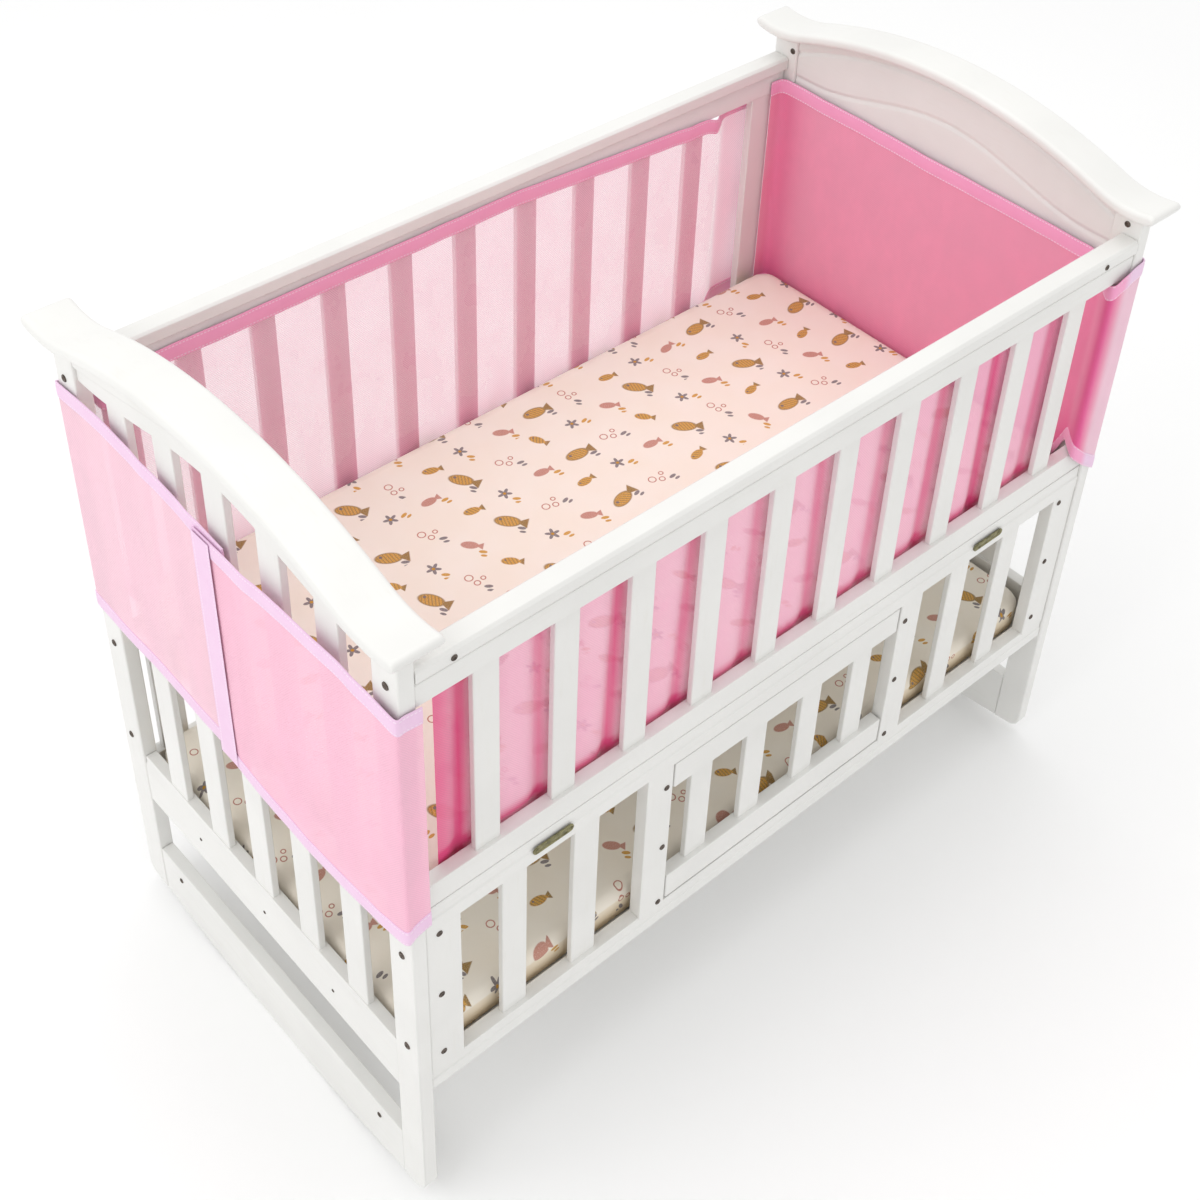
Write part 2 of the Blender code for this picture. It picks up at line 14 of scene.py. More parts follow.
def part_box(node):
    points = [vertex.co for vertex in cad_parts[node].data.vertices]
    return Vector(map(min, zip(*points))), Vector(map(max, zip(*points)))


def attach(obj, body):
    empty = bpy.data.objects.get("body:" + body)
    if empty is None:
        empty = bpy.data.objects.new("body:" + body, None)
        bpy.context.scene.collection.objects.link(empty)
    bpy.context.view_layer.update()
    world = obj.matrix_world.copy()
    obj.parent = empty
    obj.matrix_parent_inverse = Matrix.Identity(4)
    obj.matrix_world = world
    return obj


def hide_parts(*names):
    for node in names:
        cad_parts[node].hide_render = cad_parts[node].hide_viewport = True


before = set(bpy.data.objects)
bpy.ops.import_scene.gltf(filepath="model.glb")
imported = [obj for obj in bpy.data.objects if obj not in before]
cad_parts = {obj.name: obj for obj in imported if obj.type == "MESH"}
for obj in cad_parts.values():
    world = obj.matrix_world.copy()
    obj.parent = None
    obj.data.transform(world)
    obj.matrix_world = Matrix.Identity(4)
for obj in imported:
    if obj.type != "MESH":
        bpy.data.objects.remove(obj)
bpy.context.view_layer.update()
BODY = "root"
MM = 0.001

# --- sizes from the frame
FOOT_CAP_LOW, FOOT_CAP_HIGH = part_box("foot_cap")
FOOT_POST_LOW, FOOT_POST_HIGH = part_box("post_foot_front")
HEAD_BOARD_LOW, HEAD_BOARD_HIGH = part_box("head_board")
FRONT_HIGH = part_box("front_rail_frame")[1]

HALF_LENGTH = -FOOT_POST_LOW.x           # outer faces of the end posts
HALF_WIDTH = -FOOT_POST_LOW.y
POST_INNER_X = -FOOT_POST_HIGH.x
POST_INNER_Y = -FOOT_POST_HIGH.y
END_MID_X = (HALF_LENGTH + POST_INNER_X) / 2
LONG_END = FRONT_HIGH.x

# rails, the same levels as the solids
RAIL_FACE = 0.281
RAIL_BACK = 0.263
TOP_RAIL = (0.782, 0.812)
CAP_RAIL = (0.8105, FRONT_HIGH.z)
CAP_RAIL_Y = (0.2575, 0.2835)
UPPER_LOW_RAIL = (0.4985, 0.530)
LOWER_TOP_RAIL = (0.464, 0.4982)
BOTTOM_RAIL = (0.203, 0.2325)
SLAT_Y = (0.266, 0.274)
SLAT_WIDE = 0.030
FRONT_SLATS, FRONT_PITCH = 10, 0.0934
BACK_SLATS, BACK_PITCH, BACK_FIRST = 9, 0.0914, -0.3825
BACK_STILE = (0.449, 0.484)
END_RAIL = (0.187, 0.262)
END_SLATS, END_SLAT_PITCH, END_SLAT_WIDE, END_SLAT_THICK = 5, 0.0868, 0.035, 0.009
BOARD_THICK = 0.016
ARCH_BOARD_END, ARCH_BOARD_RISE = 0.818, 0.033
FOOT_SLAT_TOP = 0.853                    # hidden in the arch board
LET_IN = 0.004                           # how far a slat runs into a rail
HAIR = 0.0003                            # gap between neighbouring boards

# arched cap
CAP_THICK = 0.014
CAP_TIP = FOOT_CAP_HIGH.y
CAP_WIDE = FOOT_CAP_HIGH.x - FOOT_CAP_LOW.x
CAP_BASE, CAP_RISE = 0.866, 0.053
CAP_HALF_ARCH, CAP_TURN, CAP_FLARE = 0.264, 0.227, 7.9

# cloth, the same routes as the solids
STANDOFF = 0.0028
INSIDE_Y = RAIL_BACK - STANDOFF - 0.0004
OUTSIDE_Y = HALF_WIDTH + STANDOFF
OUTSIDE_X = HALF_LENGTH + STANDOFF
HEAD_X = POST_INNER_X - STANDOFF - 0.0003
PANEL_LOW, PANEL_HIGH = 0.477, 0.800
SQUEEZE_LOW, SQUEEZE_HIGH = 0.5330, 0.7785
BINDING_HIGH = 0.020
BINDING_THICK = 0.0022


# --- node graphs
TAU = 2 * math.pi


class Value:
    """A number in a node graph, with the usual operators."""

    def __init__(self, graph, socket):
        self.graph = graph
        self.socket = socket

    def __add__(self, other):
        return self.graph.math("ADD", self, other)

    def __sub__(self, other):
        return self.graph.math("SUBTRACT", self, other)

    def __mul__(self, other):
        return self.graph.math("MULTIPLY", self, other)

    def __truediv__(self, other):
        return self.graph.math("DIVIDE", self, other)

    def __abs__(self):
        return self.graph.math("ABSOLUTE", self)


class Graph:
    """A material's node tree, with short calls for the nodes used here."""

    def __init__(self, name):
        self.material = bpy.data.materials.new(name)
        self.material.use_nodes = True
        self.tree = self.material.node_tree
        self.shader = self.tree.nodes["Principled BSDF"]

    def node(self, kind, **settings):
        made = self.tree.nodes.new(kind)
        for key, value in settings.items():
            setattr(made, key, value)
        return made

    def put(self, socket, value):
        if isinstance(value, Value):
            value = value.socket
        if isinstance(value, bpy.types.NodeSocket):
            self.tree.links.new(value, socket)
        elif value is not None:
            if socket.type == "RGBA" and len(value) == 3:
                value = (*value, 1.0)
            socket.default_value = value

    def math(self, operation, a, b=None, c=None, clamp=False):
        made = self.node("ShaderNodeMath", operation=operation, use_clamp=clamp)
        for socket, value in zip(made.inputs, (a, b, c)):
            self.put(socket, value)
        return Value(self, made.outputs[0])

    def sine(self, angle):
        return self.math("SINE", angle)

    def cosine(self, angle):
        return self.math("COSINE", angle)

    def larger(self, a, b):
        return self.math("MAXIMUM", a, b)

    def vector(self, x, y, z=0.0):
        made = self.node("ShaderNodeCombineXYZ")
        for socket, value in zip(made.inputs, (x, y, z)):
            self.put(socket, value)
        return made.outputs[0]

    def parts(self, vector):
        made = self.node("ShaderNodeSeparateXYZ")
        self.put(made.inputs[0], vector)
        return [Value(self, socket) for socket in made.outputs]

    def scaled(self, vector, scale):
        made = self.node("ShaderNodeVectorMath", operation="MULTIPLY")
        self.put(made.inputs[0], vector)
        made.inputs[1].default_value = scale
        return made.outputs[0]

    def mix(self, factor, a, b):
        made = self.node("ShaderNodeMix", data_type="RGBA")
        self.put(made.inputs[0], factor)
        self.put(made.inputs[6], a)
        self.put(made.inputs[7], b)
        return made.outputs[2]

    def span(self, value, low, high, to_low=0.0, to_high=1.0):
        """A soft step of the value from low to high, read out from to_low to to_high."""
        made = self.node("ShaderNodeMapRange", interpolation_type="SMOOTHSTEP")
        for socket, item in zip(made.inputs, (value, low, high, to_low, to_high)):
            self.put(socket, item)
        return Value(self, made.outputs[0])

    def noise(self, vector, scale, detail=3.0, roughness=0.5):
        made = self.node("ShaderNodeTexNoise")
        settings = {"Vector": vector, "Scale": scale, "Detail": detail, "Roughness": roughness}
        for key, value in settings.items():
            self.put(made.inputs[key], value)
        return Value(self, made.outputs[0])

    def place(self):
        return self.node("ShaderNodeTexCoord").outputs["Object"]

    def uv(self, name):
        return self.parts(self.node("ShaderNodeUVMap", uv_map=name).outputs[0])[:2]

    def attribute(self, name):
        return Value(self, self.node("ShaderNodeAttribute", attribute_name=name).outputs["Fac"])

    def bump(self, height, strength, distance):
        made = self.node("ShaderNodeBump")
        for key, value in {"Strength": strength, "Distance": distance, "Height": height}.items():
            self.put(made.inputs[key], value)
        self.put(self.shader.inputs["Normal"], made.outputs[0])

    def set(self, **values):
        """Shader inputs by name: a plain number goes on the socket itself."""
        for key, value in values.items():
            self.put(self.shader.inputs[key.replace("_", " ")], value)


def tinted(colour, red, green, blue):
    return (min(1.0, colour[0] * red), min(1.0, colour[1] * green), min(1.0, colour[2] * blue))


PAINT = (0.80, 0.795, 0.77)


def painted_wood(name, axis):
    """White paint over wood: faint grain along the piece, brushed sheen, small soft marks."""
    g = Graph(name)
    stretch = {"x": (0.12, 1.0, 1.0), "y": (1.0, 0.12, 1.0), "z": (1.0, 1.0, 0.12)}[axis]
    place = g.place()
    grain = g.noise(g.scaled(place, stretch), 170.0, 4.0, 0.6)
    cloud = g.noise(place, 9.0, 3.0)
    peel = g.noise(place, 420.0, 2.0)
    colour = g.mix(g.span(cloud, 0.35, 0.7), PAINT, tinted(PAINT, 0.965, 0.965, 0.965))
    colour = g.mix(g.span(grain, 0.55, 0.8, 0.0, 0.35), colour, tinted(PAINT, 0.93, 0.92, 0.88))
    rough = g.span(cloud, 0.3, 0.7, 0.30, 0.40) + g.span(grain, 0.4, 0.7, 0.0, 0.08)
    g.set(Base_Color=colour, Roughness=rough, Specular_IOR_Level=0.45, Coat_Weight=0.12, Coat_Roughness=0.25)
    g.bump(grain * 0.7 + peel * 0.3, 0.22, 0.0004)
    return g.material


# Painted light: the paler pink laid on where the 'deep' layer runs below zero.
PAINTED_LIGHT_PINK = (0.95, 0.62, 0.74)
HOLE_PITCH, HOLE_ROW = 0.0026, 0.62       # of the mesh: along it, and the rows' share of that


def mesh_cloth(name, colour, deep, solid, open_):
    """Sheer knitted mesh: small staggered holes in a pink ground, with painted shade from the 'deep' layer,
    denser and in the deep colour at folds, corners and slat edges, and painted light, paler pink, where that
    layer runs below zero.
    """
    g = Graph(name)
    u, v = g.uv("cloth")
    columns = g.cosine(u * (TAU / HOLE_PITCH))
    rows = g.cosine(v * (math.pi / (HOLE_PITCH * HOLE_ROW)))
    hole = g.span(columns * rows, 0.05, 0.75)
    soft = g.noise(g.scaled(g.vector(u, v), (1.0, 0.55, 1.0)), 22.0, 3.0, 0.55)
    fine = g.noise(g.vector(u, v), 640.0, 2.0)
    # The 'deep' layer carries painted shade above zero (deep colour, denser cloth) and painted light below
    # zero.
    shade = g.attribute("deep")
    painted_fold_shade = g.larger(shade, 0.0)
    painted_light = g.larger(shade * -1.0, 0.0)
    lit = tuple(min(1.0, c * 1.06 + 0.03) for c in colour)
    tone = g.mix(g.span(soft, 0.3, 0.75, 0.0, 0.30), colour, tinted(colour, 0.99, 0.86, 0.91))
    tone = g.mix(g.span(hole, 0.0, 1.0, 0.0, 0.30), tone, lit)
    tone = g.mix(painted_light, tone, PAINTED_LIGHT_PINK)
    tone = g.mix(painted_fold_shade, tone, deep)
    body = g.math("ADD", hole * (open_ - solid) + solid, painted_fold_shade * (1.0 - solid), clamp=True)
    body = g.math("ADD", body, g.span(soft, 0.3, 0.8, -0.03, 0.05), clamp=True)
    g.set(Base_Color=tone, Alpha=body, Roughness=0.8, Specular_IOR_Level=0.25)
    g.set(Sheen_Weight=0.25, Sheen_Roughness=0.5)
    g.bump(hole * -0.8 + fine * 0.3, 0.35, 0.0005)
    return g.material


LILAC, LILAC_THREAD = (0.86, 0.60, 0.80), (0.95, 0.78, 0.90)
TWILL_PITCH, RIB_PITCH, STITCH_PITCH = 0.0011, 0.0009, 0.0042


def binding_cloth(name, colour, thread, rows=(0.0022, 0.0175), upright=False):
    """Folded tape: a fine twill with two rows of stitches; v runs across the tape in metres."""
    g = Graph(name)
    u, v = g.uv("cloth")
    if upright:
        u, v = v, u
    twill = g.sine((v * 0.6 + u) * (TAU / TWILL_PITCH))
    rib = g.sine(v * (TAU / RIB_PITCH))
    soft = g.noise(g.vector(u, v), 34.0, 3.0)
    dash = g.span(g.cosine(u * (TAU / STITCH_PITCH)), -0.55, -0.2)
    groove = g.larger(*(g.span(abs(v - row), 0.0004, 0.0009, 1.0, 0.0) for row in rows))
    stitch = groove * dash
    tone = g.mix(g.span(soft, 0.3, 0.75, 0.0, 0.5), colour, tinted(colour, 0.97, 0.90, 0.95))
    tone = g.mix(g.span(twill, -1.0, 1.0, 0.0, 0.12), tone, tinted(colour, 1.05, 1.05, 1.05))
    tone = g.mix(g.attribute("tint"), tone, LILAC)
    tone = g.mix(stitch * 0.8, tone, thread)
    g.set(Base_Color=tone, Roughness=0.72, Specular_IOR_Level=0.3, Sheen_Weight=0.3, Sheen_Roughness=0.45)
    g.bump((twill + rib) * 0.12 + stitch * 0.9 - groove * 0.5, 0.4, 0.0006)
    return g.material


PRINT_CELL = (0.056, 0.046)               # one motif in each cell, in metres
PRINT_SHIFT = 0.43                        # of a cell, from row to row
OCHRE, OLIVE = (0.62, 0.31, 0.02), (0.30, 0.16, 0.02)
ROSE, SLATE = (0.50, 0.17, 0.12), (0.20, 0.17, 0.18)
THREAD_PITCH = 0.0008


def printed_sheet(name, ground, side):
    """Cream cotton with a spaced print of plain fish, rings, small flowers and leaves, in millimetres."""
    g = Graph(name)
    u, v = g.uv("print")
    row = g.math("FLOOR", v / PRINT_CELL[1])
    shifted = u / PRINT_CELL[0] + row * PRINT_SHIFT
    column = g.math("FLOOR", shifted)
    chance = g.node("ShaderNodeTexWhiteNoise", noise_dimensions="2D")
    g.put(chance.inputs["Vector"], g.vector(column, row))
    spread = g.parts(chance.outputs["Color"])
    x = (g.math("FRACT", shifted) - 0.5) * (PRINT_CELL[0] / MM) + (spread[0] * 12.0 - 6.0)
    y = (g.math("FRACT", v / PRINT_CELL[1]) - 0.5) * (PRINT_CELL[1] / MM) + (spread[1] * 9.0 - 4.5)
    kind = g.math("FLOORED_MODULO", row * 2.0 + column, 5.0)
    turn = spread[2] * 1.5 - 1.15
    px = x * g.cosine(turn) + y * g.sine(turn)
    py = y * g.cosine(turn) - x * g.sine(turn)

    def is_kind(number):
        return g.math("COMPARE", kind, float(number), 0.4)

    def blob(cx, cy, rx, ry, scale=1.0):
        dx = (px - cx) / (rx * scale)
        dy = (py - cy) / (ry * scale)
        return g.math("SQRT", dx * dx + dy * dy)

    def inside(distance, edge=0.1):
        return g.span(distance, 1.0 - edge, 1.0 + edge, 1.0, 0.0)

    def fish(scale):
        body = inside(blob(-2.5 * scale, 0.0, 10.0, 5.6, scale))
        run = px - 5.5 * scale
        wedge = abs(py) - (run * 0.62 + 1.0 * scale)
        ends = g.span(run, -1.0, 0.0) * g.span(run, 6.4 * scale, 7.4 * scale, 1.0, 0.0)
        tail = g.span(wedge, -0.6, 0.6, 1.0, 0.0) * ends
        eye = inside(blob(-8.0 * scale, 1.4 * scale, 1.3, 1.3, scale))
        core = inside(blob(-2.5 * scale, 0.0, 10.0, 5.6, scale * 0.86))
        return g.larger(body, tail), eye, core

    def ring(cx, cy, radius):
        return g.span(abs(blob(cx, cy, 1.0, 1.0) - radius), 0.45, 0.95, 1.0, 0.0)

    big, big_eye, big_core = fish(1.60)
    small, small_eye, small_core = fish(1.05)
    rings = g.larger(ring(-8.0, 4.0, 4.6), g.larger(ring(1.5, -3.5, 3.5), ring(8.0, 4.5, 2.7)))
    reach = g.math("SQRT", px * px + py * py)
    petal = g.cosine(g.math("ARCTAN2", py, px) * 5.0) * 2.8 + 6.4
    flower = g.span(reach - petal, -0.5, 0.5, 1.0, 0.0)
    centre = g.span(reach, 1.6, 2.4, 1.0, 0.0)
    leaf = g.larger(inside(blob(14.0, -9.0, 5.0, 2.4)), inside(blob(16.0, -15.0, 3.8, 1.8)))
    scales = g.span(g.sine((px + py * 0.5) * 1.5), 0.1, 0.7, 0.0, 0.75)

    place = g.vector(u, v)
    thread = g.sine(u * (TAU / THREAD_PITCH)) + g.sine(v * (TAU / THREAD_PITCH))
    cloud = g.noise(place, 14.0, 3.0)
    ink = g.span(g.noise(place, 900.0, 2.0), 0.25, 0.6, 0.72, 0.96)
    tone = g.mix(g.span(cloud, 0.3, 0.7, 0.0, 0.5), ground, tinted(ground, 0.985, 0.95, 0.90))
    # Painted shade: the pad's sides take the darker tan side colour, by the 'side' layer.
    tone = g.mix(g.attribute("side"), tone, side)
    core = g.larger(big_core, small_core * is_kind(2))
    fish_tone = g.mix(core, OLIVE, g.mix(scales, OCHRE, OLIVE))
    for mask, tint in (
        (big * is_kind(0), fish_tone),
        (big_eye * is_kind(0), SLATE),
        (small * is_kind(2), fish_tone),
        (small_eye * is_kind(2), SLATE),
        (rings * is_kind(1), ROSE),
        (flower * is_kind(3), SLATE),
        (centre * is_kind(3), OCHRE),
        (leaf * g.math("LESS_THAN", kind, 1.5), SLATE),
        (leaf * g.math("GREATER_THAN", kind, 2.5), OCHRE),
        (small * 0.9 * is_kind(4), ROSE),
    ):
        tone = g.mix(mask * ink, tone, tint)
    g.set(Base_Color=tone, Roughness=0.85, Specular_IOR_Level=0.2, Sheen_Weight=0.12)
    g.bump(thread * 0.2 + cloud * 0.6, 0.25, 0.0006)
    return g.material


def metal(name, tint, roughness):
    """Browned hardware: uneven tone, fine scratches."""
    g = Graph(name)
    place = g.place()
    cloud = g.noise(place, 160.0, 4.0, 0.6)
    scratch = g.noise(g.scaled(place, (1.0, 1.0, 6.0)), 700.0, 2.0)
    tone = g.mix(g.span(cloud, 0.35, 0.7), tint, tinted(tint, 0.45, 0.45, 0.45))
    rough = g.span(scratch, 0.3, 0.7, roughness - 0.08, roughness + 0.15)
    g.set(Base_Color=tone, Roughness=rough, Metallic=0.85)
    g.bump(scratch, 0.2, 0.0002)
    return g.material


def studio_floor(name):
    g = Graph(name)
    cloud = g.noise(g.place(), 1.5, 2.0)
    g.set(Base_Color=g.mix(cloud, (0.97, 0.97, 0.965), (0.95, 0.95, 0.95)), Roughness=0.9)
    return g.material


WOOD = {axis: painted_wood("paint_" + axis, axis) for axis in "xyz"}
BOLT = metal("bolt_metal", (0.16, 0.13, 0.11), 0.42)
PLATE = metal("plate_metal", (0.30, 0.28, 0.15), 0.38)


# --- basic meshes
def placed(name, data):
    """A new object in the scene, holding this mesh, camera or light."""
    obj = bpy.data.objects.new(name, data)
    bpy.context.scene.collection.objects.link(obj)
    return obj


def new_piece(name, bm, material, smooth=40, nodes=()):
    bmesh.ops.recalc_face_normals(bm, faces=bm.faces)
    return keep_piece(name, bm, material, smooth, nodes)


def keep_piece(name, bm, material, smooth=40, nodes=()):
    """As new_piece, with the faces' directions left as they are."""
    mesh = bpy.data.meshes.new(name)
    bm.to_mesh(mesh)
    bm.free()
    mesh.materials.append(material)
    mesh.shade_smooth()
    mesh.set_sharp_from_angle(angle=math.radians(smooth))
    obj = placed(name, mesh)
    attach(obj, BODY)
    if nodes:
        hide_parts(*nodes)
    return obj


def wood_piece(name, bm, axis, smooth=40, nodes=(), width=None):
    """A painted piece with its grain along the axis, its edges eased by width."""
    obj = new_piece(name, bm, WOOD[axis], smooth, nodes)
    if width:
        bevel = obj.modifiers.new("eased", "BEVEL")
        bevel.width = width
        bevel.segments = 3
        bevel.limit_method = "ANGLE"
        bevel.angle_limit = math.radians(35)
        bevel.harden_normals = True


def skin(bm, rings):
    """Faces between closed rings of vertices, and one over each end."""
    count = len(rings[0])
    for near, far in zip(rings, rings[1:]):
        for i in range(count):
            j = (i + 1) % count
            bm.faces.new((near[i], near[j], far[j], far[i]))
    bm.faces.new(rings[0])
    bm.faces.new(rings[-1])


def write_uv(bm, layer, flat):
    """Each corner of a face reads its vertex's place on the flat cloth."""
    for face in bm.faces:
        for loop in face.loops:
            loop[layer].uv = flat[loop.vert]


def add_bar(bm, x_range, y_range, z_range):
    low = Vector((x_range[0], y_range[0], z_range[0]))
    high = Vector((x_range[1], y_range[1], z_range[1]))
    size, middle = high - low, (high + low) / 2
    for vert in bmesh.ops.create_cube(bm, size=1.0)["verts"]:
        vert.co = Vector(vert.co[i] * size[i] + middle[i] for i in range(3))


def bars(name, items, axis, width=0.0016, nodes=()):
    """Eased bars in one piece: slats, stiles or short rails."""
    bm = bmesh.new()
    for item in items:
        add_bar(bm, *item)
    wood_piece(name, bm, axis, nodes=nodes, width=width)


def profile_bar(name, outline, axis, low, high, width=0.0012, nodes=()):
    """An outline pushed along an axis, eased at its edges."""
    def place(point, depth):
        if axis == "x":
            return Vector((depth, point[0], point[1]))
        return Vector((point[0], depth, point[1]))
    bm = bmesh.new()
    skin(bm, [[bm.verts.new(place(p, depth)) for p in outline] for depth in (low, high)])
    wood_piece(name, bm, axis, nodes=nodes, width=width)


def eased_copy(name, node, axis, width):
    """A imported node's own shape with its flat faces whole and its edges rounded over."""
    bm = bmesh.new()
    bm.from_mesh(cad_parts[node].data)
    bmesh.ops.remove_doubles(bm, verts=bm.verts, dist=0.00002)
    bmesh.ops.dissolve_limit(bm, angle_limit=math.radians(1.0), verts=bm.verts, edges=bm.edges)
    wood_piece(name, bm, axis, 30, (node,), width)


def spread(low, high, count):
    return [low + (high - low) * i / (count - 1) for i in range(count)]


def mirrored(pair):
    return (-pair[1], -pair[0])


# --- the crib
def cap_height(y):
    """Top of the arched cap: a low arch whose tips flare up again."""
    y = abs(y)
    if y <= CAP_TURN:
        return CAP_BASE + CAP_RISE * (1 - (y / CAP_HALF_ARCH) ** 2)
    start = CAP_BASE + CAP_RISE * (1 - (CAP_TURN / CAP_HALF_ARCH) ** 2)
    slope = -2 * CAP_RISE * CAP_TURN / CAP_HALF_ARCH ** 2
    run = y - CAP_TURN
    return start + slope * run + 0.5 * CAP_FLARE * run ** 2


def arch_board_height(y):
    return ARCH_BOARD_END + ARCH_BOARD_RISE * (0.5 + 0.5 * math.cos(math.pi * y / POST_INNER_Y))


def build_cap(name, node, side):
    """Arched plate with rounded long edges and rounded, flared tips."""
    middle = side * END_MID_X
    half, radius = CAP_WIDE / 2, CAP_THICK / 2
    corner = 0.0055
    section = []
    for cx, cz, start in (
        (half - corner, -corner, 0), (-half + corner, -corner, 90),
        (-half + corner, -CAP_THICK + corner, 180), (half - corner, -CAP_THICK + corner, 270),
    ):
        for i in range(6):
            angle = math.radians(start + 90 * i / 5)
            section.append((cx + corner * math.cos(angle), cz + corner * math.sin(angle)))
    bm = bmesh.new()
    rings = []
    turns = [math.radians(degrees) for degrees in (15, 30, 45, 60, 75, 86)]
    tips = [(CAP_TIP - radius + radius * math.sin(turn), math.cos(turn)) for turn in turns]
    stations = [(-y, share) for y, share in reversed(tips)]
    stations += [(y, 1.0) for y in spread(-CAP_TIP + radius, CAP_TIP - radius, 73)]
    stations += tips
    for y, share in stations:
        top = cap_height(y)
        ring = []
        for x, z in section:
            z = -radius + (z + radius) * share
            ring.append(bm.verts.new((middle + x * (0.93 + 0.07 * share), y, top + z)))
        rings.append(ring)
    skin(bm, rings)
    wood_piece(name, bm, "y", 50, (node,))


def build_foot_end():
    """Bottom rail, slats let into it, and the arched board with its stepped lower band."""
    middle = -END_MID_X
    reach = POST_INNER_Y - HAIR
    board = (middle - BOARD_THICK / 2, middle + BOARD_THICK / 2)
    low, high = END_RAIL
    rail = [(board[0], low), (board[0], high - 0.012), (board[0] + 0.002, high - 0.009),
            (board[0] + 0.002, high), (board[1], high), (board[1], low)]
    profile_bar("foot_low_rail", rail, "y", -reach, reach, nodes=("foot_slats",))
    thick = END_SLAT_THICK / 2
    first = -END_SLAT_PITCH * (END_SLATS - 1) / 2
    slats = []
    for i in range(END_SLATS):
        y = first + i * END_SLAT_PITCH
        wide = (y - END_SLAT_WIDE / 2, y + END_SLAT_WIDE / 2)
        slats.append(((middle - thick, middle + thick), wide, (high - LET_IN, FOOT_SLAT_TOP)))
    bars("foot_slat_row", slats, "z")
    arch_board("foot_arch_board", middle, reach)


RIDGE_STEP = 0.003


def arch_board(name, middle, reach):
    """Board under the cap whose outer face steps in below a ridge that follows the arch."""
    ys = spread(-reach, reach, 61)
    bm = bmesh.new()
    columns = []
    half = BOARD_THICK / 2
    for y in ys:
        low, high = arch_board_height(y), cap_height(y) - CAP_THICK - 0.0004
        ridge = low + (high - low) * 0.42
        inner = -half + RIDGE_STEP
        faces = ((inner, low), (inner, ridge - RIDGE_STEP), (-half, ridge + 0.001),
                 (-half, high), (half, high), (half, low))
        columns.append([bm.verts.new((middle + x, y, z)) for x, z in faces])
    skin(bm, columns)
    wood_piece(name, bm, "y", 30, width=0.0012)


GROOVE_DEEP, GROOVE_HALF = 0.0022, 0.0026


def outer_groove(y):
    return 0.892 - 0.050 * (abs(y) / 0.24) ** 2


def inner_groove(y):
    """Ogee line: low at the posts, lifting to a long crown."""
    y = abs(y)
    if y >= 0.215:
        return 0.806
    return 0.806 + 0.040 * (0.5 + 0.5 * math.cos(math.pi * y / 0.215)) ** 0.9


def build_head_board():
    """Panel whose inner face carries two carved lines under the arch."""
    middle = END_MID_X
    reach = POST_INNER_Y - HAIR
    half = (HEAD_BOARD_HIGH.x - HEAD_BOARD_LOW.x) / 2
    low = HEAD_BOARD_LOW.z
    ys = spread(-reach, reach, 121)
    bm = bmesh.new()

    def carve(y, z):
        deep = 0.0
        for line in (outer_groove(y), inner_groove(y)):
            off = (z - line) / GROOVE_HALF
            deep = max(deep, GROOVE_DEEP * math.exp(-off * off))
        return deep

    share_rows = [0.0, 0.4, 0.62] + [0.64 + 0.36 * i / 70 for i in range(71)]
    front, back = [], []
    for y in ys:
        high = cap_height(y) - CAP_THICK - 0.0004
        levels = [low + (high - low) * share for share in share_rows]
        front.append([bm.verts.new((middle - half + carve(y, z), y, z)) for z in levels])
        back.append([bm.verts.new((middle + half, y, low)), bm.verts.new((middle + half, y, high))])
    top = len(share_rows) - 1
    for i in range(len(ys) - 1):
        for j in range(top):
            bm.faces.new((front[i][j], front[i + 1][j], front[i + 1][j + 1], front[i][j + 1]))
        bm.faces.new((back[i][0], back[i][1], back[i + 1][1], back[i + 1][0]))
        bm.faces.new((front[i][0], back[i][0], back[i + 1][0], front[i + 1][0]))
        bm.faces.new((front[i][top], front[i + 1][top], back[i + 1][1], back[i][1]))
    for i in (0, len(ys) - 1):
        bm.faces.new(front[i] + [back[i][1], back[i][0]])
    wood_piece("head_panel_board", bm, "y", 50, ("head_board",))


def top_rail(name, side, node):
    """Rail with a cap rail over it, a shallow groove between the two."""
    face, back = RAIL_FACE, RAIL_BACK
    out, inner = CAP_RAIL_Y[1], CAP_RAIL_Y[0]
    level, top = CAP_RAIL[0], CAP_RAIL[1]
    groove = 0.0022
    points = [
        (back, TOP_RAIL[0]), (face, TOP_RAIL[0]), (face, level - groove),
        (face - groove, level - groove * 0.7), (face - groove, level + groove * 0.3),
        (out, level + groove), (out, top - 0.004), (out - 0.003, top),
        (inner + 0.003, top), (inner, top - 0.003),
        (inner, level + groove), (back + groove * 0.6, level), (back, level - groove),
    ]
    outline = [(side * y, z) for y, z in points]
    profile_bar(name, outline, "x", -LONG_END, LONG_END, width=0.001, nodes=(node,))


def long_rail(name, side, z_range, step=0.0, out=RAIL_FACE, back=RAIL_BACK, nodes=()):
    """Plain rail, or with a shallow step cut along its outer face."""
    low, high = z_range
    points = [(back, low), (out, low), (out, high), (back, high)]
    if step:
        middle = low + (high - low) * 0.55
        points = [(back, low), (out, low), (out, middle - step), (out - step, middle)]
        points += [(out - step, high), (back, high)]
    profile_bar(name, [(side * y, z) for y, z in points], "x", -LONG_END, LONG_END, nodes=nodes)


def slat_row(name, places, side, low, high, wide=SLAT_WIDE):
    faces = SLAT_Y if side > 0 else mirrored(SLAT_Y)
    bars(name, [((x - wide / 2, x + wide / 2), faces, (low, high)) for x in places], "z")


def build_front():
    top_rail("front_top_rail", -1, "front_rail_frame")
    long_rail("front_mid_rail", -1, UPPER_LOW_RAIL, out=RAIL_FACE - 0.0025)
    first = -FRONT_PITCH * (FRONT_SLATS - 1) / 2
    places = [first + i * FRONT_PITCH for i in range(FRONT_SLATS)]
    slat_row("front_slat_row", places, -1, UPPER_LOW_RAIL[1] - LET_IN, TOP_RAIL[0] + LET_IN)
    build_lower_front()


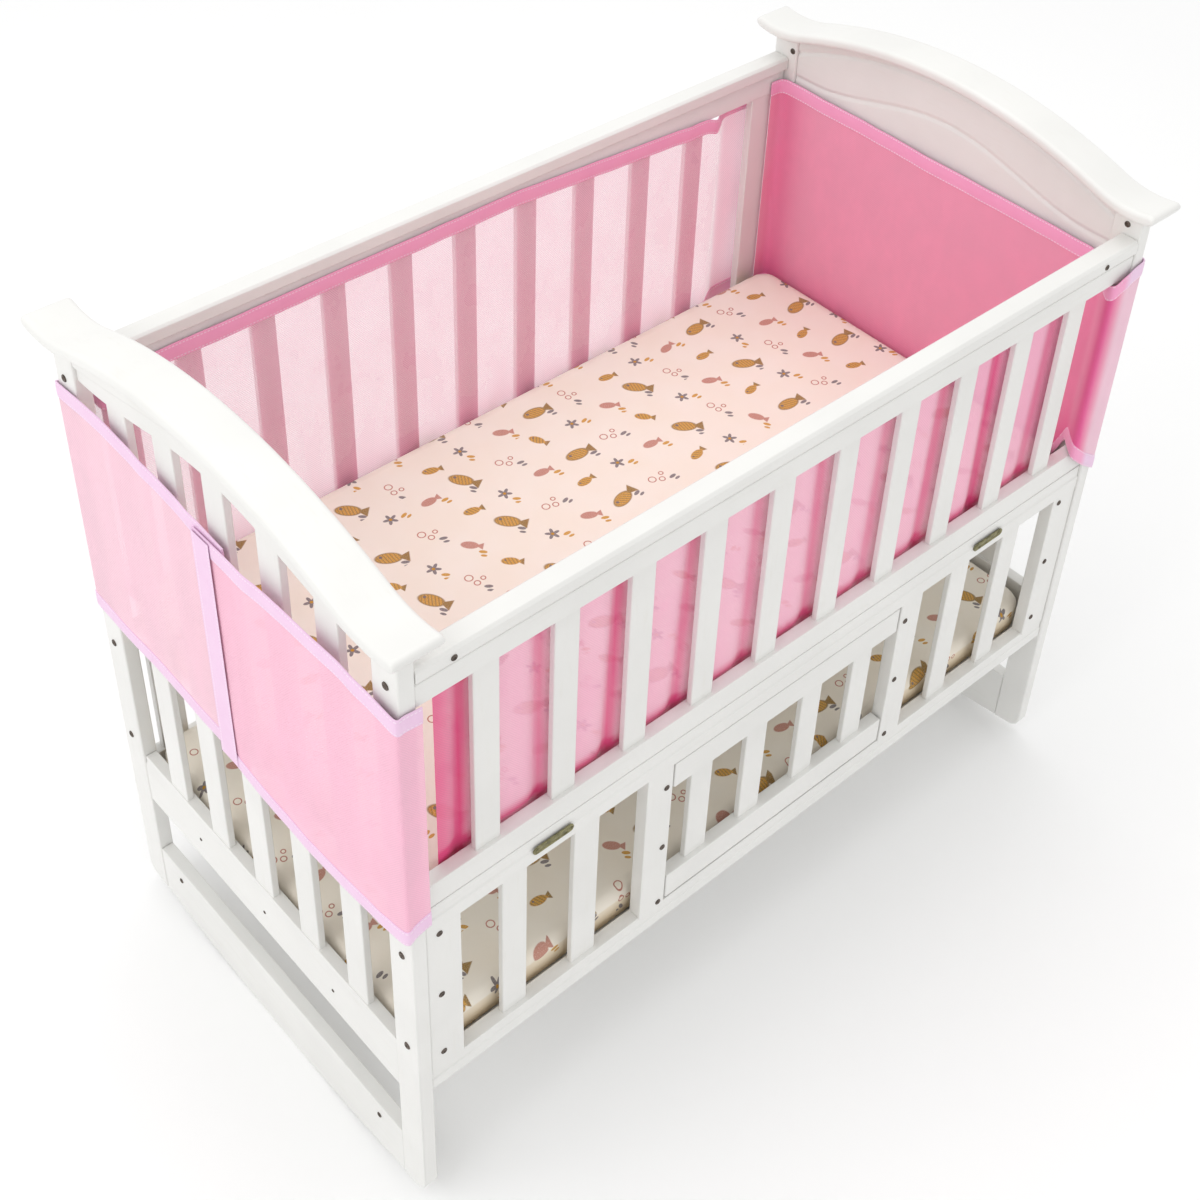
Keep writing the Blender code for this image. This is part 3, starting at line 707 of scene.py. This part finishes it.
LOWER_UPRIGHTS = (  # kind, near x, far x of each upright, right half
    ("stile", 0.1790, 0.2155),
    ("slat", 0.2759, 0.3095),
    ("slat", 0.3716, 0.4034),
    ("stile", 0.4596, 0.5015),
)
GATE_HALF = 0.1765
GATE_LOW, GATE_HIGH = (0.2365, 0.2740), (0.4236, 0.4610)
GATE_SLATS, GATE_SLAT_WIDE = (0.044, 0.128), 0.032


def build_lower_front():
    """Fixed lower frame with its stiles, and the gate between the two middle stiles."""
    long_rail("lower_front_top_rail", -1, LOWER_TOP_RAIL, step=0.0016, nodes=("front_lower_frame",))
    long_rail("lower_front_bottom_rail", -1, BOTTOM_RAIL, step=0.0016)
    low, high = BOTTOM_RAIL[1] - 0.003, LOWER_TOP_RAIL[0] + 0.003
    stiles, slats = [], []
    for kind, near, far in LOWER_UPRIGHTS:
        for side in (-1, 1):
            x_range = tuple(sorted((side * near, side * far)))
            if kind == "stile":
                stiles.append((x_range, (-RAIL_FACE + 0.0004, -RAIL_BACK - 0.0004), (low, high)))
            else:
                slats.append((x_range, mirrored(SLAT_Y), (low, high)))
    bars("lower_front_stiles", stiles, "z")
    bars("lower_front_slats", slats, "z")
    depth = (-RAIL_FACE + 0.001, -RAIL_BACK - 0.001)
    rails = [((-GATE_HALF, GATE_HALF), depth, level) for level in (GATE_LOW, GATE_HIGH)]
    bars("gate_rails", rails, "x", nodes=("front_gate",))
    places = [side * x for x in GATE_SLATS for side in (-1, 1)]
    slat_row("gate_slats", places, -1, GATE_LOW[1] - 0.003, GATE_HIGH[0] + 0.003, GATE_SLAT_WIDE)


def build_back():
    top_rail("back_top_rail", 1, "back_rail_frame")
    long_rail("back_bottom_rail", 1, BOTTOM_RAIL, step=0.002)
    low, high = BOTTOM_RAIL[1] - LET_IN, TOP_RAIL[0] + LET_IN
    slat_row("back_slat_row", [BACK_FIRST + i * BACK_PITCH for i in range(BACK_SLATS)], 1, low, high)
    faces = (SLAT_Y[0] - 0.001, SLAT_Y[1] + 0.002)
    bars("back_stiles", [(BACK_STILE, faces, (low, high)), (mirrored(BACK_STILE), faces, (low, high))], "z")


def build_ends():
    for node, axis in (
        ("post_foot_front", "z"), ("post_foot_back", "z"), ("post_head_front", "z"), ("post_head_back", "z"),
        ("foot_rocker", "y"), ("head_rocker", "y"), ("head_slats", "y"), ("deck", "x"), ("lower_deck", "x"),
    ):
        eased_copy(node + "_eased", node, axis, 0.0022 if node.startswith("post") else 0.0016)
    build_cap("foot_arched_cap", "foot_cap", -1)
    build_cap("head_arched_cap", "head_cap", 1)
    build_foot_end()
    build_head_board()


# --- bolts and plates
BOLT_PROFILE = ((0.0, 0.5), (1.5, 0.5), (1.9, 1.2), (3.2, 1.5), (4.1, 1.0), (4.3, 0.0))


def add_turned(bm, centre, normal, profile, scale=1.0, count=16):
    """A small turned head on a face: profile is (radius, height) in millimetres."""
    normal = Vector(normal)
    side = normal.orthogonal().normalized()
    up = normal.cross(side)
    rings = []
    for radius, height in profile:
        base = Vector(centre) + normal * (height * MM * scale)
        if radius == 0:
            rings.append([bm.verts.new(base)])
            continue
        turns = [TAU * i / count for i in range(count)]
        spokes = [side * math.cos(turn) + up * math.sin(turn) for turn in turns]
        rings.append([bm.verts.new(base + spoke * (radius * MM * scale)) for spoke in spokes])
    for near, far in zip(rings, rings[1:]):
        for i in range(count):
            j = (i + 1) % count
            if len(near) == 1:
                bm.faces.new((near[0], far[i], far[j]))
            else:
                bm.faces.new((near[i], far[i], far[j], near[j]))
    bm.faces.new(list(reversed(rings[-1])))


def build_bolts():
    bm = bmesh.new()
    board_face = END_MID_X + BOARD_THICK / 2
    for side in (-1, 1):
        for y in (-0.266, 0.266):
            for z in (0.810, 0.436, 0.284):
                add_turned(bm, (side * HALF_LENGTH, y, z), (side, 0, 0), BOLT_PROFILE)
            add_turned(bm, (side * board_face, y * 0.76, 0.072), (side, 0, 0), BOLT_PROFILE, 0.8)
        for y in (-0.13, 0.0, 0.13):
            add_turned(bm, (side * board_face, y, 0.222), (side, 0, 0), BOLT_PROFILE, 0.5)
    stile_face = -(RAIL_FACE - 0.0004)
    for x, levels in (
        (-0.486, (0.455, 0.356, 0.257)), (0.471, (0.455, 0.356, 0.257)),
        (-0.1885, (0.434, 0.336, 0.240)), (0.1885, (0.434, 0.336, 0.240)),
    ):
        for z in levels:
            add_turned(bm, (x, stile_face, z), (0, -1, 0), BOLT_PROFILE, 0.85)
    for x in (-0.462, 0.445):
        add_turned(bm, (x, -CAP_RAIL_Y[1], 0.8185), (0, -1, 0), BOLT_PROFILE, 0.8)
    for y, z in ((-0.264, 0.842), (0.252, 0.840)):
        add_turned(bm, (POST_INNER_X, y, z), (-1, 0, 0), BOLT_PROFILE, 0.9)
    new_piece("bolt_heads", bm, BOLT, smooth=35)


def build_plate(name, node):
    """Round-ended slot plate: a raised rim, a sunk middle and a screw at each end."""
    low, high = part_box(node)
    centre = (low + high) / 2
    half_long, half_high = (high.x - low.x) / 2, (high.z - low.z) / 2
    bm = bmesh.new()
    rings = []
    for inset, out in ((0.0, 0.0), (0.0, 1.0), (0.0006, 1.25), (0.0016, 1.25), (0.0022, 0.6)):
        radius = half_high - inset
        ring = []
        for side in (1, -1):
            for i in range(9):
                angle = math.radians(-90 + 180 * i / 8)
                x = centre.x + side * (half_long - half_high) + side * radius * math.cos(angle)
                z = centre.z + side * radius * math.sin(angle)
                ring.append(bm.verts.new((x, high.y - (high.y - low.y) * out, z)))
        rings.append(ring)
    skin(bm, rings)
    face = high.y - (high.y - low.y) * 0.6
    for side in (-1, 1):
        screw = (centre.x + side * (half_long - 0.006), face, centre.z)
        add_turned(bm, screw, (0, -1, 0), BOLT_PROFILE, 0.55, 12)
    new_piece(name, bm, PLATE, smooth=35, nodes=(node,))


# --- mattresses
MATTRESS_CORNER, MATTRESS_EDGE = 0.030, 0.011


def build_mattress(name, node, material, seed):
    """A foam pad in a fitted sheet: soft edges, a slight crown, tension creases at the corners."""
    low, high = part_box(node)
    half_x, half_y = (high.x - low.x) / 2, (high.y - low.y) / 2
    middle = Vector(((high.x + low.x) / 2, (high.y + low.y) / 2, 0.0))
    columns, rows = 120, 64
    bm = bmesh.new()
    uv_layer = bm.loops.layers.uv.new("print")
    side_layer = bm.verts.layers.float.new("side")
    flat = {}

    def rounded(a, b):
        x, y = a * half_x, b * half_y
        inner_x, inner_y = half_x - MATTRESS_CORNER, half_y - MATTRESS_CORNER
        dx, dy = max(0.0, abs(x) - inner_x), max(0.0, abs(y) - inner_y)
        if dx > 0 and dy > 0:
            share = max(dx, dy) / math.hypot(dx, dy)
            x = math.copysign(inner_x + dx * share, x)
            y = math.copysign(inner_y + dy * share, y)
        return x, y

    def ruffle(x, y, reach):
        corner = math.hypot(half_x - abs(x), half_y - abs(y))
        pull = math.exp(-corner / 0.09)
        turn = math.atan2(half_y - abs(y) + 0.01, half_x - abs(x) + 0.01)
        crease = math.sin(turn * 11 + seed + math.copysign(1.7, x) + math.copysign(0.9, y))
        soft = noise.noise(Vector((x * 7 + seed, y * 9, 0.3)))
        return (0.0011 * pull * crease + 0.0009 * soft) * reach

    grid = []
    for i in range(columns + 1):
        line = []
        for j in range(rows + 1):
            a, b = 2 * i / columns - 1, 2 * j / rows - 1
            x, y = rounded(a, b)
            rim = min(half_x - abs(x), half_y - abs(y))
            past_x = abs(x) - half_x + MATTRESS_CORNER
            past_y = abs(y) - half_y + MATTRESS_CORNER
            if past_x > 0 and past_y > 0:
                rim = MATTRESS_CORNER - math.hypot(past_x, past_y)
            t = min(1.0, max(0.0, rim / MATTRESS_EDGE))
            fall = MATTRESS_EDGE * (1 - math.sqrt(max(0.0, 1 - (1 - t) ** 2)))
            crown = -0.0022 + 0.0022 * (1 - (x / half_x) ** 2) * (1 - (y / half_y) ** 2)
            z = high.z - 0.0006 - fall + crown + ruffle(x, y, t)
            vert = bm.verts.new((middle.x + x, middle.y + y, min(z, high.z)))
            flat[vert] = (x, y)
            line.append(vert)
        grid.append(line)
    for i in range(columns):
        for j in range(rows):
            bm.faces.new((grid[i][j], grid[i + 1][j], grid[i + 1][j + 1], grid[i][j + 1]))
    border = [grid[i][0] for i in range(columns)] + [grid[columns][j] for j in range(rows)]
    border += [grid[i][rows] for i in range(columns, 0, -1)] + [grid[0][j] for j in range(rows, 0, -1)]
    count = len(border)
    ring = border
    depths = [0.10, 0.25, 0.42, 0.60, 0.78, 0.92, 1.0]
    tall = border[0].co.z - low.z
    for depth in depths:
        lower = []
        for k, vert in enumerate(border):
            ahead, behind = border[(k + 1) % count].co, border[k - 1].co
            out = Vector((ahead.y - behind.y, behind.x - ahead.x, 0.0)).normalized()
            tuck = 0.004 * max(0.0, depth - 0.85) / 0.15
            soft = noise.noise(Vector((vert.co.x * 16, vert.co.y * 16, seed)))
            billow = 0.0010 * math.sin(depth * math.pi) * soft
            spot = vert.co + out * (min(0.0, billow) - tuck)
            z = vert.co.z + (low.z - vert.co.z) * depth
            made = bm.verts.new((spot.x, spot.y, z))
            # Painted shade on the sides, growing towards the bottom.
            made[side_layer] = min(1.0, 0.35 + depth)
            x, y = flat[vert]
            flat[made] = (x + out.x * tall * depth, y + out.y * tall * depth)
            lower.append(made)
        for k in range(count):
            m = (k + 1) % count
            bm.faces.new((ring[m], ring[k], lower[k], lower[m]))
        ring = lower
    bm.faces.new(ring)
    write_uv(bm, uv_layer, flat)
    obj = new_piece(name, bm, material, smooth=60, nodes=(node,))


# --- cloth
def arc(centre, radius, start, end, steps):
    points = []
    for i in range(steps + 1):
        angle = math.radians(start + (end - start) * i / steps)
        points.append((centre[0] + radius * math.cos(angle), centre[1] + radius * math.sin(angle)))
    return points


def along_route(points, step, passes=2):
    """Even points along a plan route, its corners softened."""
    out = [Vector(points[0])]
    for a, b in zip(points, points[1:]):
        a, b = Vector(a), Vector(b)
        parts = max(1, math.ceil((b - a).length / step))
        out += [a.lerp(b, i / parts) for i in range(1, parts + 1)]
    for _ in range(passes):
        calm = [out[0]] + [(a + b * 2 + c) / 4 for a, b, c in zip(out, out[1:], out[2:])] + [out[-1]]
        out = calm
    return out


def lengths_along(points):
    total = [0.0]
    for a, b in zip(points, points[1:]):
        total.append(total[-1] + (Vector(b) - Vector(a)).length)
    return total


def across(points, i):
    """Level direction square to the route at one of its points."""
    along = (points[min(len(points) - 1, i + 1)] - points[max(0, i - 1)]).normalized()
    return Vector((-along.y, along.x))


def straight_reading(table, distance, column):
    if distance <= table[0][0]:
        return table[0][column]
    for low, high in zip(table, table[1:]):
        if distance <= high[0]:
            share = (distance - low[0]) / (high[0] - low[0])
            return low[column] + (high[column] - low[column]) * share
    return table[-1][column]


def reading(table, distance, column):
    """Reading of a table whose first column is the distance, its corners softened."""
    around = [straight_reading(table, distance + step * 0.003, column) for step in (-2, -1, 0, 1, 2)]
    return sum(around) / len(around)


def fold_push(distance, share, folds):
    """Sum of soft ridges and troughs; depth fades in and out over the height each of the folds covers."""
    push = 0.0
    for place, wide, depth, lean, foot, head in folds:
        off = (distance - place - lean * (share - 0.5)) / wide
        cover = 1.0
        if share < foot:
            cover = math.exp(-((share - foot) / 0.16) ** 2)
        elif share > head:
            cover = math.exp(-((share - head) / 0.16) ** 2)
        push += depth * cover * math.exp(-off * off)
    return push


RIPPLE = 0.0003


def cloth_grid(name, route, edges, material, node, folds=(), cut=0.0, rows=40, deep=None):
    """The sheer sheet of a panel: one layer on its route, with its folds, cut short at both edges."""
    points = along_route(route, 0.005)
    marks = lengths_along(points)
    bm = bmesh.new()
    uv_layer = bm.loops.layers.uv.new("cloth")
    deep_layer = bm.verts.layers.float.new("deep")
    flat, grid = {}, []
    for i, point in enumerate(points):
        side = across(points, i)
        full_low, full_high = reading(edges, marks[i], 1), reading(edges, marks[i], 2)
        low, high = full_low + cut, full_high - cut
        line = []
        for row in range(rows + 1):
            z = low + (high - low) * row / rows
            share = (z - full_low) / (full_high - full_low)
            push = fold_push(marks[i], share, folds)
            push += RIPPLE * noise.noise(Vector((marks[i] * 24, z * 9, len(name))))
            vert = bm.verts.new((point.x + side.x * push, point.y + side.y * push, z))
            # The 'deep' layer holds painted shade above zero and painted light below zero.
            if deep is not None:
                vert[deep_layer] = max(-1.0, min(1.0, deep(marks[i], share)))
            flat[vert] = (marks[i], z)
            line.append(vert)
        grid.append(line)
    for near, far in zip(grid, grid[1:]):
        for row in range(rows):
            bm.faces.new((near[row], far[row], far[row + 1], near[row + 1]))
    write_uv(bm, uv_layer, flat)
    return keep_piece(name, bm, material, smooth=80, nodes=(node,))


TAPE_SECTION = (  # (share of the height, share of the half thickness): a folded tape, dipped at its stitches
    (0.00, 0.55), (0.05, 0.95), (0.11, 0.72), (0.18, 1.0), (0.50, 1.08),
    (0.80, 1.0), (0.88, 0.72), (0.95, 0.95), (1.00, 0.45),
)


def tape(name, route, edges, material, folds, band, node, lilac_from):
    """A binding folded over a panel's edge, closed all round; it turns lilac past lilac_from."""
    tall, thick = BINDING_HIGH, BINDING_THICK
    points = along_route(route, 0.005)
    marks = lengths_along(points)
    bm = bmesh.new()
    uv_layer = bm.loops.layers.uv.new("cloth")
    tint_layer = bm.verts.layers.float.new("tint")
    flat, rings = {}, []
    for i, point in enumerate(points):
        side = across(points, i)
        full_low, full_high = reading(edges, marks[i], 1), reading(edges, marks[i], 2)
        base = full_high - tall if band == "high" else full_low
        sway = 0.0005 * noise.noise(Vector((marks[i] * 30, 3.0, len(name))))
        ring = []
        for face in (1, -1):
            section = TAPE_SECTION if face == 1 else reversed(TAPE_SECTION)
            for level, half in section:
                z = base + tall * level + sway
                share = (z - full_low) / (full_high - full_low)
                push = fold_push(marks[i], share, folds) + face * half * thick / 2
                vert = bm.verts.new((point.x + side.x * push, point.y + side.y * push, z))
                if lilac_from is not None:
                    vert[tint_layer] = max(0.0, min(1.0, (marks[i] - lilac_from) / LILAC_FADE))
                flat[vert] = (marks[i], tall * level)
                ring.append(vert)
        rings.append(ring)
    skin(bm, rings)
    write_uv(bm, uv_layer, flat)
    return new_piece(name, bm, material, smooth=60, nodes=(node,))


STRIP_STITCHES = (0.0028, 0.0272)         # rows down the closing strip, across its width
LILAC_FADE = 0.012                        # over which the head tape turns lilac
ROSE_TAPE, ROSE_THREAD = (0.91, 0.38, 0.58), (0.98, 0.74, 0.84)


def panel(stem, route, edges, cloth, edge_tape, folds, deep=None, lilac_from=None):
    """A mesh panel with its top and bottom bindings, stretched along its route."""
    cut = BINDING_HIGH * 0.6
    name, node = stem + "_mesh_cloth", stem + "_mesh"
    sheet = cloth_grid(name, route, edges, cloth, node, folds, cut, 44, deep)
    for word, band in (("top", "high"), ("bottom", "low")):
        name, node = f"{stem}_{word}_tape", f"{stem}_{word}_binding"
        tape(name, route, edges, edge_tape, folds, band, node, lilac_from)


def build_foot_panels():
    """Two lengths over the outside of the foot end, lapped at the middle."""
    corner, lap_out = 0.004, 0.0036
    far_x = -OUTSIDE_X
    route = [(-0.4880, OUTSIDE_Y)]
    route += arc((far_x + corner, OUTSIDE_Y - corner), corner, 90, 180, 4)
    route += [(far_x, -0.020)]
    edges = (  # distance, low z, high z
        (0.000, 0.492, 0.775),
        (0.034, 0.486, 0.798),
        (0.120, 0.486, 0.806),
        (0.220, 0.483, 0.799),
        (0.345, 0.476, 0.7875),
    )
    folds = (  # place, width, depth, lean, from share, to share
        (0.120, 0.040, -0.0018, 0.02, 0.1, 0.8),
        (0.175, 0.016, -0.0010, 0.05, 0.5, 1.0),
        (0.230, 0.050, -0.0012, -0.03, 0.0, 0.7),
        (0.300, 0.014, -0.0012, -0.04, 0.2, 0.9),
    )
    far_cloth = mesh_cloth("mesh_foot_far", (0.93, 0.60, 0.70), (0.87, 0.45, 0.60), 0.93, 0.80)
    lilac = binding_cloth("tape_lilac", LILAC, LILAC_THREAD)
    panel("foot_far", route, edges, far_cloth, lilac, folds)
    near_x = far_x - lap_out
    near_corner = corner + lap_out
    route = [(near_x, 0.026)] + arc((near_x + near_corner, -OUTSIDE_Y + corner), near_corner, 180, 230, 3)
    route += arc((far_x + corner + 0.002, -OUTSIDE_Y + corner + 0.0005), corner, 250, 270, 1)
    route += [(-0.4985, -OUTSIDE_Y)]
    edges = (
        (0.000, 0.476, 0.786),
        (0.060, 0.470, 0.786),
        (0.150, 0.459, 0.793),
        (0.230, 0.466, 0.795),
        (0.300, 0.473, 0.789),
        (0.335, 0.486, 0.786),
    )
    folds = (
        (0.060, 0.018, -0.0012, 0.05, 0.3, 1.0),
        (0.090, 0.045, -0.0016, 0.03, 0.0, 0.8),
        (0.200, 0.060, -0.0012, -0.04, 0.0, 1.0),
        (0.262, 0.012, -0.0010, -0.02, 0.1, 0.9),
    )
    near_cloth = mesh_cloth("mesh_foot_near", (0.95, 0.52, 0.66), (0.87, 0.40, 0.56), 0.94, 0.82)
    panel("foot_near", route, edges, near_cloth, lilac, folds)
    strip_cloth = binding_cloth("tape_strip", LILAC, LILAC_THREAD, rows=STRIP_STITCHES, upright=True)
    route = [(near_x - 0.0024, 0.0255), (near_x - 0.0024, -0.0045)]
    edges = ((0.0, 0.4775, 0.7845), (0.030, 0.4765, 0.7845))
    strip = cloth_grid("foot_lap_strip", route, edges, strip_cloth, "foot_closing_strip")


def build_back_panel():
    """Inside the back slats, out past the last slat and behind the stile."""
    route = [(-0.4880, 0.2790), (-0.4880, INSIDE_Y + 0.006)]
    route += arc((-0.4820, INSIDE_Y + 0.006), 0.006, 180, 270, 3)
    route += [(0.3820, INSIDE_Y), (0.4140, OUTSIDE_Y - 0.0035), (0.4215, OUTSIDE_Y), (0.4700, OUTSIDE_Y)]
    edges = (
        (0.000, SQUEEZE_LOW - 0.05, SQUEEZE_HIGH - 0.004), (0.024, SQUEEZE_LOW - 0.05, SQUEEZE_HIGH - 0.004),
        (0.065, PANEL_LOW, PANEL_HIGH), (0.560, PANEL_LOW, PANEL_HIGH + 0.003), (0.872, PANEL_LOW, 0.786),
        (0.886, PANEL_LOW, SQUEEZE_HIGH),
        (0.920, PANEL_LOW - 0.007, SQUEEZE_HIGH), (0.980, PANEL_LOW - 0.007, SQUEEZE_HIGH - 0.001),
    )
    folds = (
        (0.140, 0.020, -0.0015, 0.03, 0.1, 0.9),
        (0.300, 0.060, 0.0008, 0.03, 0.0, 1.0),
        (0.430, 0.016, -0.0014, -0.03, 0.2, 0.8),
        (0.560, 0.050, 0.0010, -0.03, 0.0, 1.0),
        (0.700, 0.020, -0.0016, 0.02, 0.0, 0.8),
        (0.830, 0.012, -0.0018, 0.01, 0.1, 1.0),
    )

    # Painted shade: deeper and denser cloth where it passes out behind the stile, and along the foot.
    def deep(distance, share):
        passing = 0.42 / (1.0 + math.exp(-(distance - 0.925) / 0.004))
        return passing + 0.40 * math.exp(-(share / 0.13) ** 2)

    cloth = mesh_cloth("mesh_back", (0.97, 0.48, 0.64), (0.90, 0.20, 0.42), 0.54, 0.30)
    rose = binding_cloth("tape_back", ROSE_TAPE, ROSE_THREAD)
    panel("back", route, edges, cloth, rose, folds, deep)


def build_head_panel():
    """From the back corner, inside the head board, out past the last front slat, round the post."""
    corner = 0.008
    route = [(0.4775, INSIDE_Y)] + arc((HEAD_X - corner, INSIDE_Y - corner), corner, 90, 0, 4)
    route += [(HEAD_X, -INSIDE_Y + 0.020), (HEAD_X - 0.003, -INSIDE_Y + 0.007), (0.4850, -0.2625)]
    route += [(0.4700, -0.2790), (0.4690, -OUTSIDE_Y + 0.0005)]
    route += [(0.4740, -OUTSIDE_Y - 0.0016), (0.4985, -OUTSIDE_Y)]
    route += arc((OUTSIDE_X - 0.004, -OUTSIDE_Y + 0.004), 0.004, 270, 360, 4) + [(OUTSIDE_X, -0.2050)]
    marks = lengths_along(route)
    inside = next(d for d, p in zip(marks, route) if p[1] < INSIDE_Y - 0.004)
    leaving = next(d for d, p in zip(marks, route) if p[1] < -INSIDE_Y + 0.012)
    outside = next(d for d, p in zip(marks, route) if p[1] < -OUTSIDE_Y + 0.001)
    total = marks[-1]
    edges = (
        (0.000, PANEL_LOW, PANEL_HIGH), (inside + 0.250, PANEL_LOW, PANEL_HIGH - 0.003),
        (leaving - 0.020, PANEL_LOW, PANEL_HIGH - 0.006), (leaving + 0.003, SQUEEZE_LOW, SQUEEZE_HIGH),
        (outside - 0.006, SQUEEZE_LOW, SQUEEZE_HIGH), (outside, SQUEEZE_LOW - 0.006, SQUEEZE_HIGH + 0.008),
        (outside + 0.018, 0.510, 0.791), (outside + 0.062, 0.479, 0.799), (total, 0.477, 0.797),
    )
    folds = (
        (inside + 0.060, 0.018, -0.0014, 0.03, 0.0, 0.8), (inside + 0.140, 0.070, 0.0008, 0.02, 0.0, 1.0),
        (inside + 0.260, 0.030, -0.0014, -0.04, 0.2, 1.0), (inside + 0.380, 0.050, 0.0008, -0.02, 0.0, 1.0),
        (outside + 0.020, 0.007, -0.0010, 0.0, 0.1, 0.9),
    )

    # Painted shade in the two inside corners, in the tuck by the post and along the foot; painted light,
    # paler pink, on the flap outside the post.
    def deep(distance, share):
        near_corner = math.exp(-((distance - inside) / 0.030) ** 2)
        near_corner += math.exp(-((distance - leaving) / 0.030) ** 2)
        tuck = 0.9 * math.exp(-((distance - (outside - 0.006)) / 0.014) ** 2)
        foot = 0.45 * math.exp(-(share / 0.16) ** 2)
        flap = 0.95 / (1.0 + math.exp(-(distance - outside - 0.014) / 0.003))
        return 0.55 * near_corner + tuck + foot * (1.0 - flap) - flap

    cloth = mesh_cloth("mesh_head", (0.93, 0.36, 0.52), (0.80, 0.12, 0.32), 0.92, 0.80)
    rose = binding_cloth("tape_head", (0.92, 0.38, 0.60), (1.0, 0.80, 0.88), rows=(0.0014, 0.0185))
    panel("head", route, edges, cloth, rose, folds, deep, lilac_from=outside + 0.012)


def build_front_panel():
    """Its own shorter length, inside the front slats."""
    start = -0.4700
    route = [(start, -INSIDE_Y), (0.4560, -INSIDE_Y)]
    edges = (
        (0.000, PANEL_LOW + 0.004, PANEL_HIGH - 0.004),
        (0.300, PANEL_LOW, PANEL_HIGH),
        (0.926, PANEL_LOW + 0.003, PANEL_HIGH - 0.002),
    )
    first = -FRONT_PITCH * (FRONT_SLATS - 1) / 2
    tucks = (0.0042, 0.0036, 0.0050, 0.0040, 0.0030, 0.0036, 0.0028, 0.0040, 0.0052, 0.0034)
    swells = (-0.0012, -0.0008, -0.0014, -0.0010, -0.0012, -0.0006, -0.0012, -0.0008, -0.0013, -0.0010)
    leans = (0.006, -0.004, 0.010, 0.014, 0.002, -0.006, 0.006, 0.004, -0.008, 0.006)
    folds = []
    tuck_shade_places = []
    for i in range(FRONT_SLATS):
        edge = first + i * FRONT_PITCH - SLAT_WIDE / 2 - start
        folds.append((edge - 0.008, 0.009, tucks[i], leans[i], 0.12, 0.92))
        folds.append((edge - 0.036, 0.022, swells[i], leans[i] * 0.6, 0.2, 0.85))
        tuck_shade_places.append((edge - 0.004, tucks[i] / 0.0052, leans[i]))

    # Painted shade: a deeper band beside each slat's edge, as strong as the tuck there is deep, at the left
    # end, and along the foot by the rail.
    def deep(distance, share):
        value = 0.0
        for place, strength, lean in tuck_shade_places:
            off = (distance - place - lean * (share - 0.5)) / 0.0075
            value += strength * math.exp(-off * off)
        left_end = 0.75 * math.exp(-(distance / 0.030) ** 2)
        foot = 0.85 * math.exp(-((share - 0.165) / 0.022) ** 2)
        return 0.85 * value + left_end + foot

    cloth = mesh_cloth("mesh_front", (0.94, 0.48, 0.64), (0.80, 0.03, 0.20), 0.88, 0.74)
    rose = binding_cloth("tape_front", (0.88, 0.40, 0.62), (0.97, 0.76, 0.86))
    panel("front", route, edges, cloth, rose, tuple(folds), deep)


# --- camera, light
CAMERA_PLACE = (-1.1054, -1.1417, 1.9530)
CAMERA_AZIMUTH, CAMERA_DOWN, CAMERA_ROLL = 43.5771, 38.2904, 2.6275
CAMERA_LENS, CAMERA_SENSOR = 55.42, 36.0
CAMERA_SHIFT = (-0.0144, -0.1765)


def build_camera():
    azimuth, down, roll = (math.radians(a) for a in (CAMERA_AZIMUTH, CAMERA_DOWN, CAMERA_ROLL))
    level = Vector((math.cos(azimuth), -math.sin(azimuth), 0.0))
    ahead = Vector((math.sin(azimuth), math.cos(azimuth), 0.0))
    forward = ahead * math.cos(down) - Vector((0.0, 0.0, math.sin(down)))
    upright = level.cross(forward)
    right = level * math.cos(roll) + upright * math.sin(roll)
    up = upright * math.cos(roll) - level * math.sin(roll)
    data = bpy.data.cameras.new("camera")
    data.lens = CAMERA_LENS
    data.sensor_width = CAMERA_SENSOR
    data.shift_x, data.shift_y = CAMERA_SHIFT
    data.clip_start = 0.02
    obj = placed("camera", data)
    turn = Matrix((right, up, -forward)).transposed().to_4x4()
    obj.matrix_world = Matrix.Translation(CAMERA_PLACE) @ turn
    bpy.context.scene.camera = obj


def add_area(name, place, target, size, power):
    data = bpy.data.lights.new(name, "AREA")
    data.shape = "SQUARE"
    data.size = size
    data.energy = power
    obj = placed(name, data)
    obj.location = place
    obj.rotation_euler = (Vector(target) - Vector(place)).to_track_quat("-Z", "Y").to_euler()


FLOOR_HALF = 6.0
WORLD_STRENGTH = 0.92


def build_studio():
    bm = bmesh.new()
    bmesh.ops.create_grid(bm, x_segments=1, y_segments=1, size=FLOOR_HALF)
    mesh = bpy.data.meshes.new("studio_floor")
    bm.to_mesh(mesh)
    bm.free()
    mesh.materials.append(studio_floor("floor_paper"))
    floor = placed("studio_floor", mesh)
    world = bpy.data.worlds.new("studio")
    world.use_nodes = True
    backdrop = world.node_tree.nodes["Background"]
    backdrop.inputs["Color"].default_value = (1.0, 1.0, 1.0, 1.0)
    backdrop.inputs["Strength"].default_value = WORLD_STRENGTH
    bpy.context.scene.world = world
    bpy.context.scene.view_settings.view_transform = "Standard"
    middle = (0.0, 0.0, 0.5)
    add_area("key_light", (-2.6, 0.2, 2.6), middle, 2.2, 20.0)
    add_area("top_light", (0.2, 0.3, 3.4), middle, 2.6, 20.0)


build_camera()
build_studio()
build_ends()
build_front()
build_back()
build_bolts()
build_plate("slot_plate_rim_left", "slot_plate_left")
build_plate("slot_plate_rim_right", "slot_plate_right")
# The second colour is the painted shade on the mattress sides.
SHEET = printed_sheet("sheet_print", (0.93, 0.87, 0.77), (0.84, 0.68, 0.46))
build_mattress("mattress_in_sheet", "mattress", SHEET, 1.0)
build_mattress("lower_mattress_in_sheet", "lower_mattress", SHEET, 4.0)
build_foot_panels()
build_back_panel()
build_head_panel()
build_front_panel()
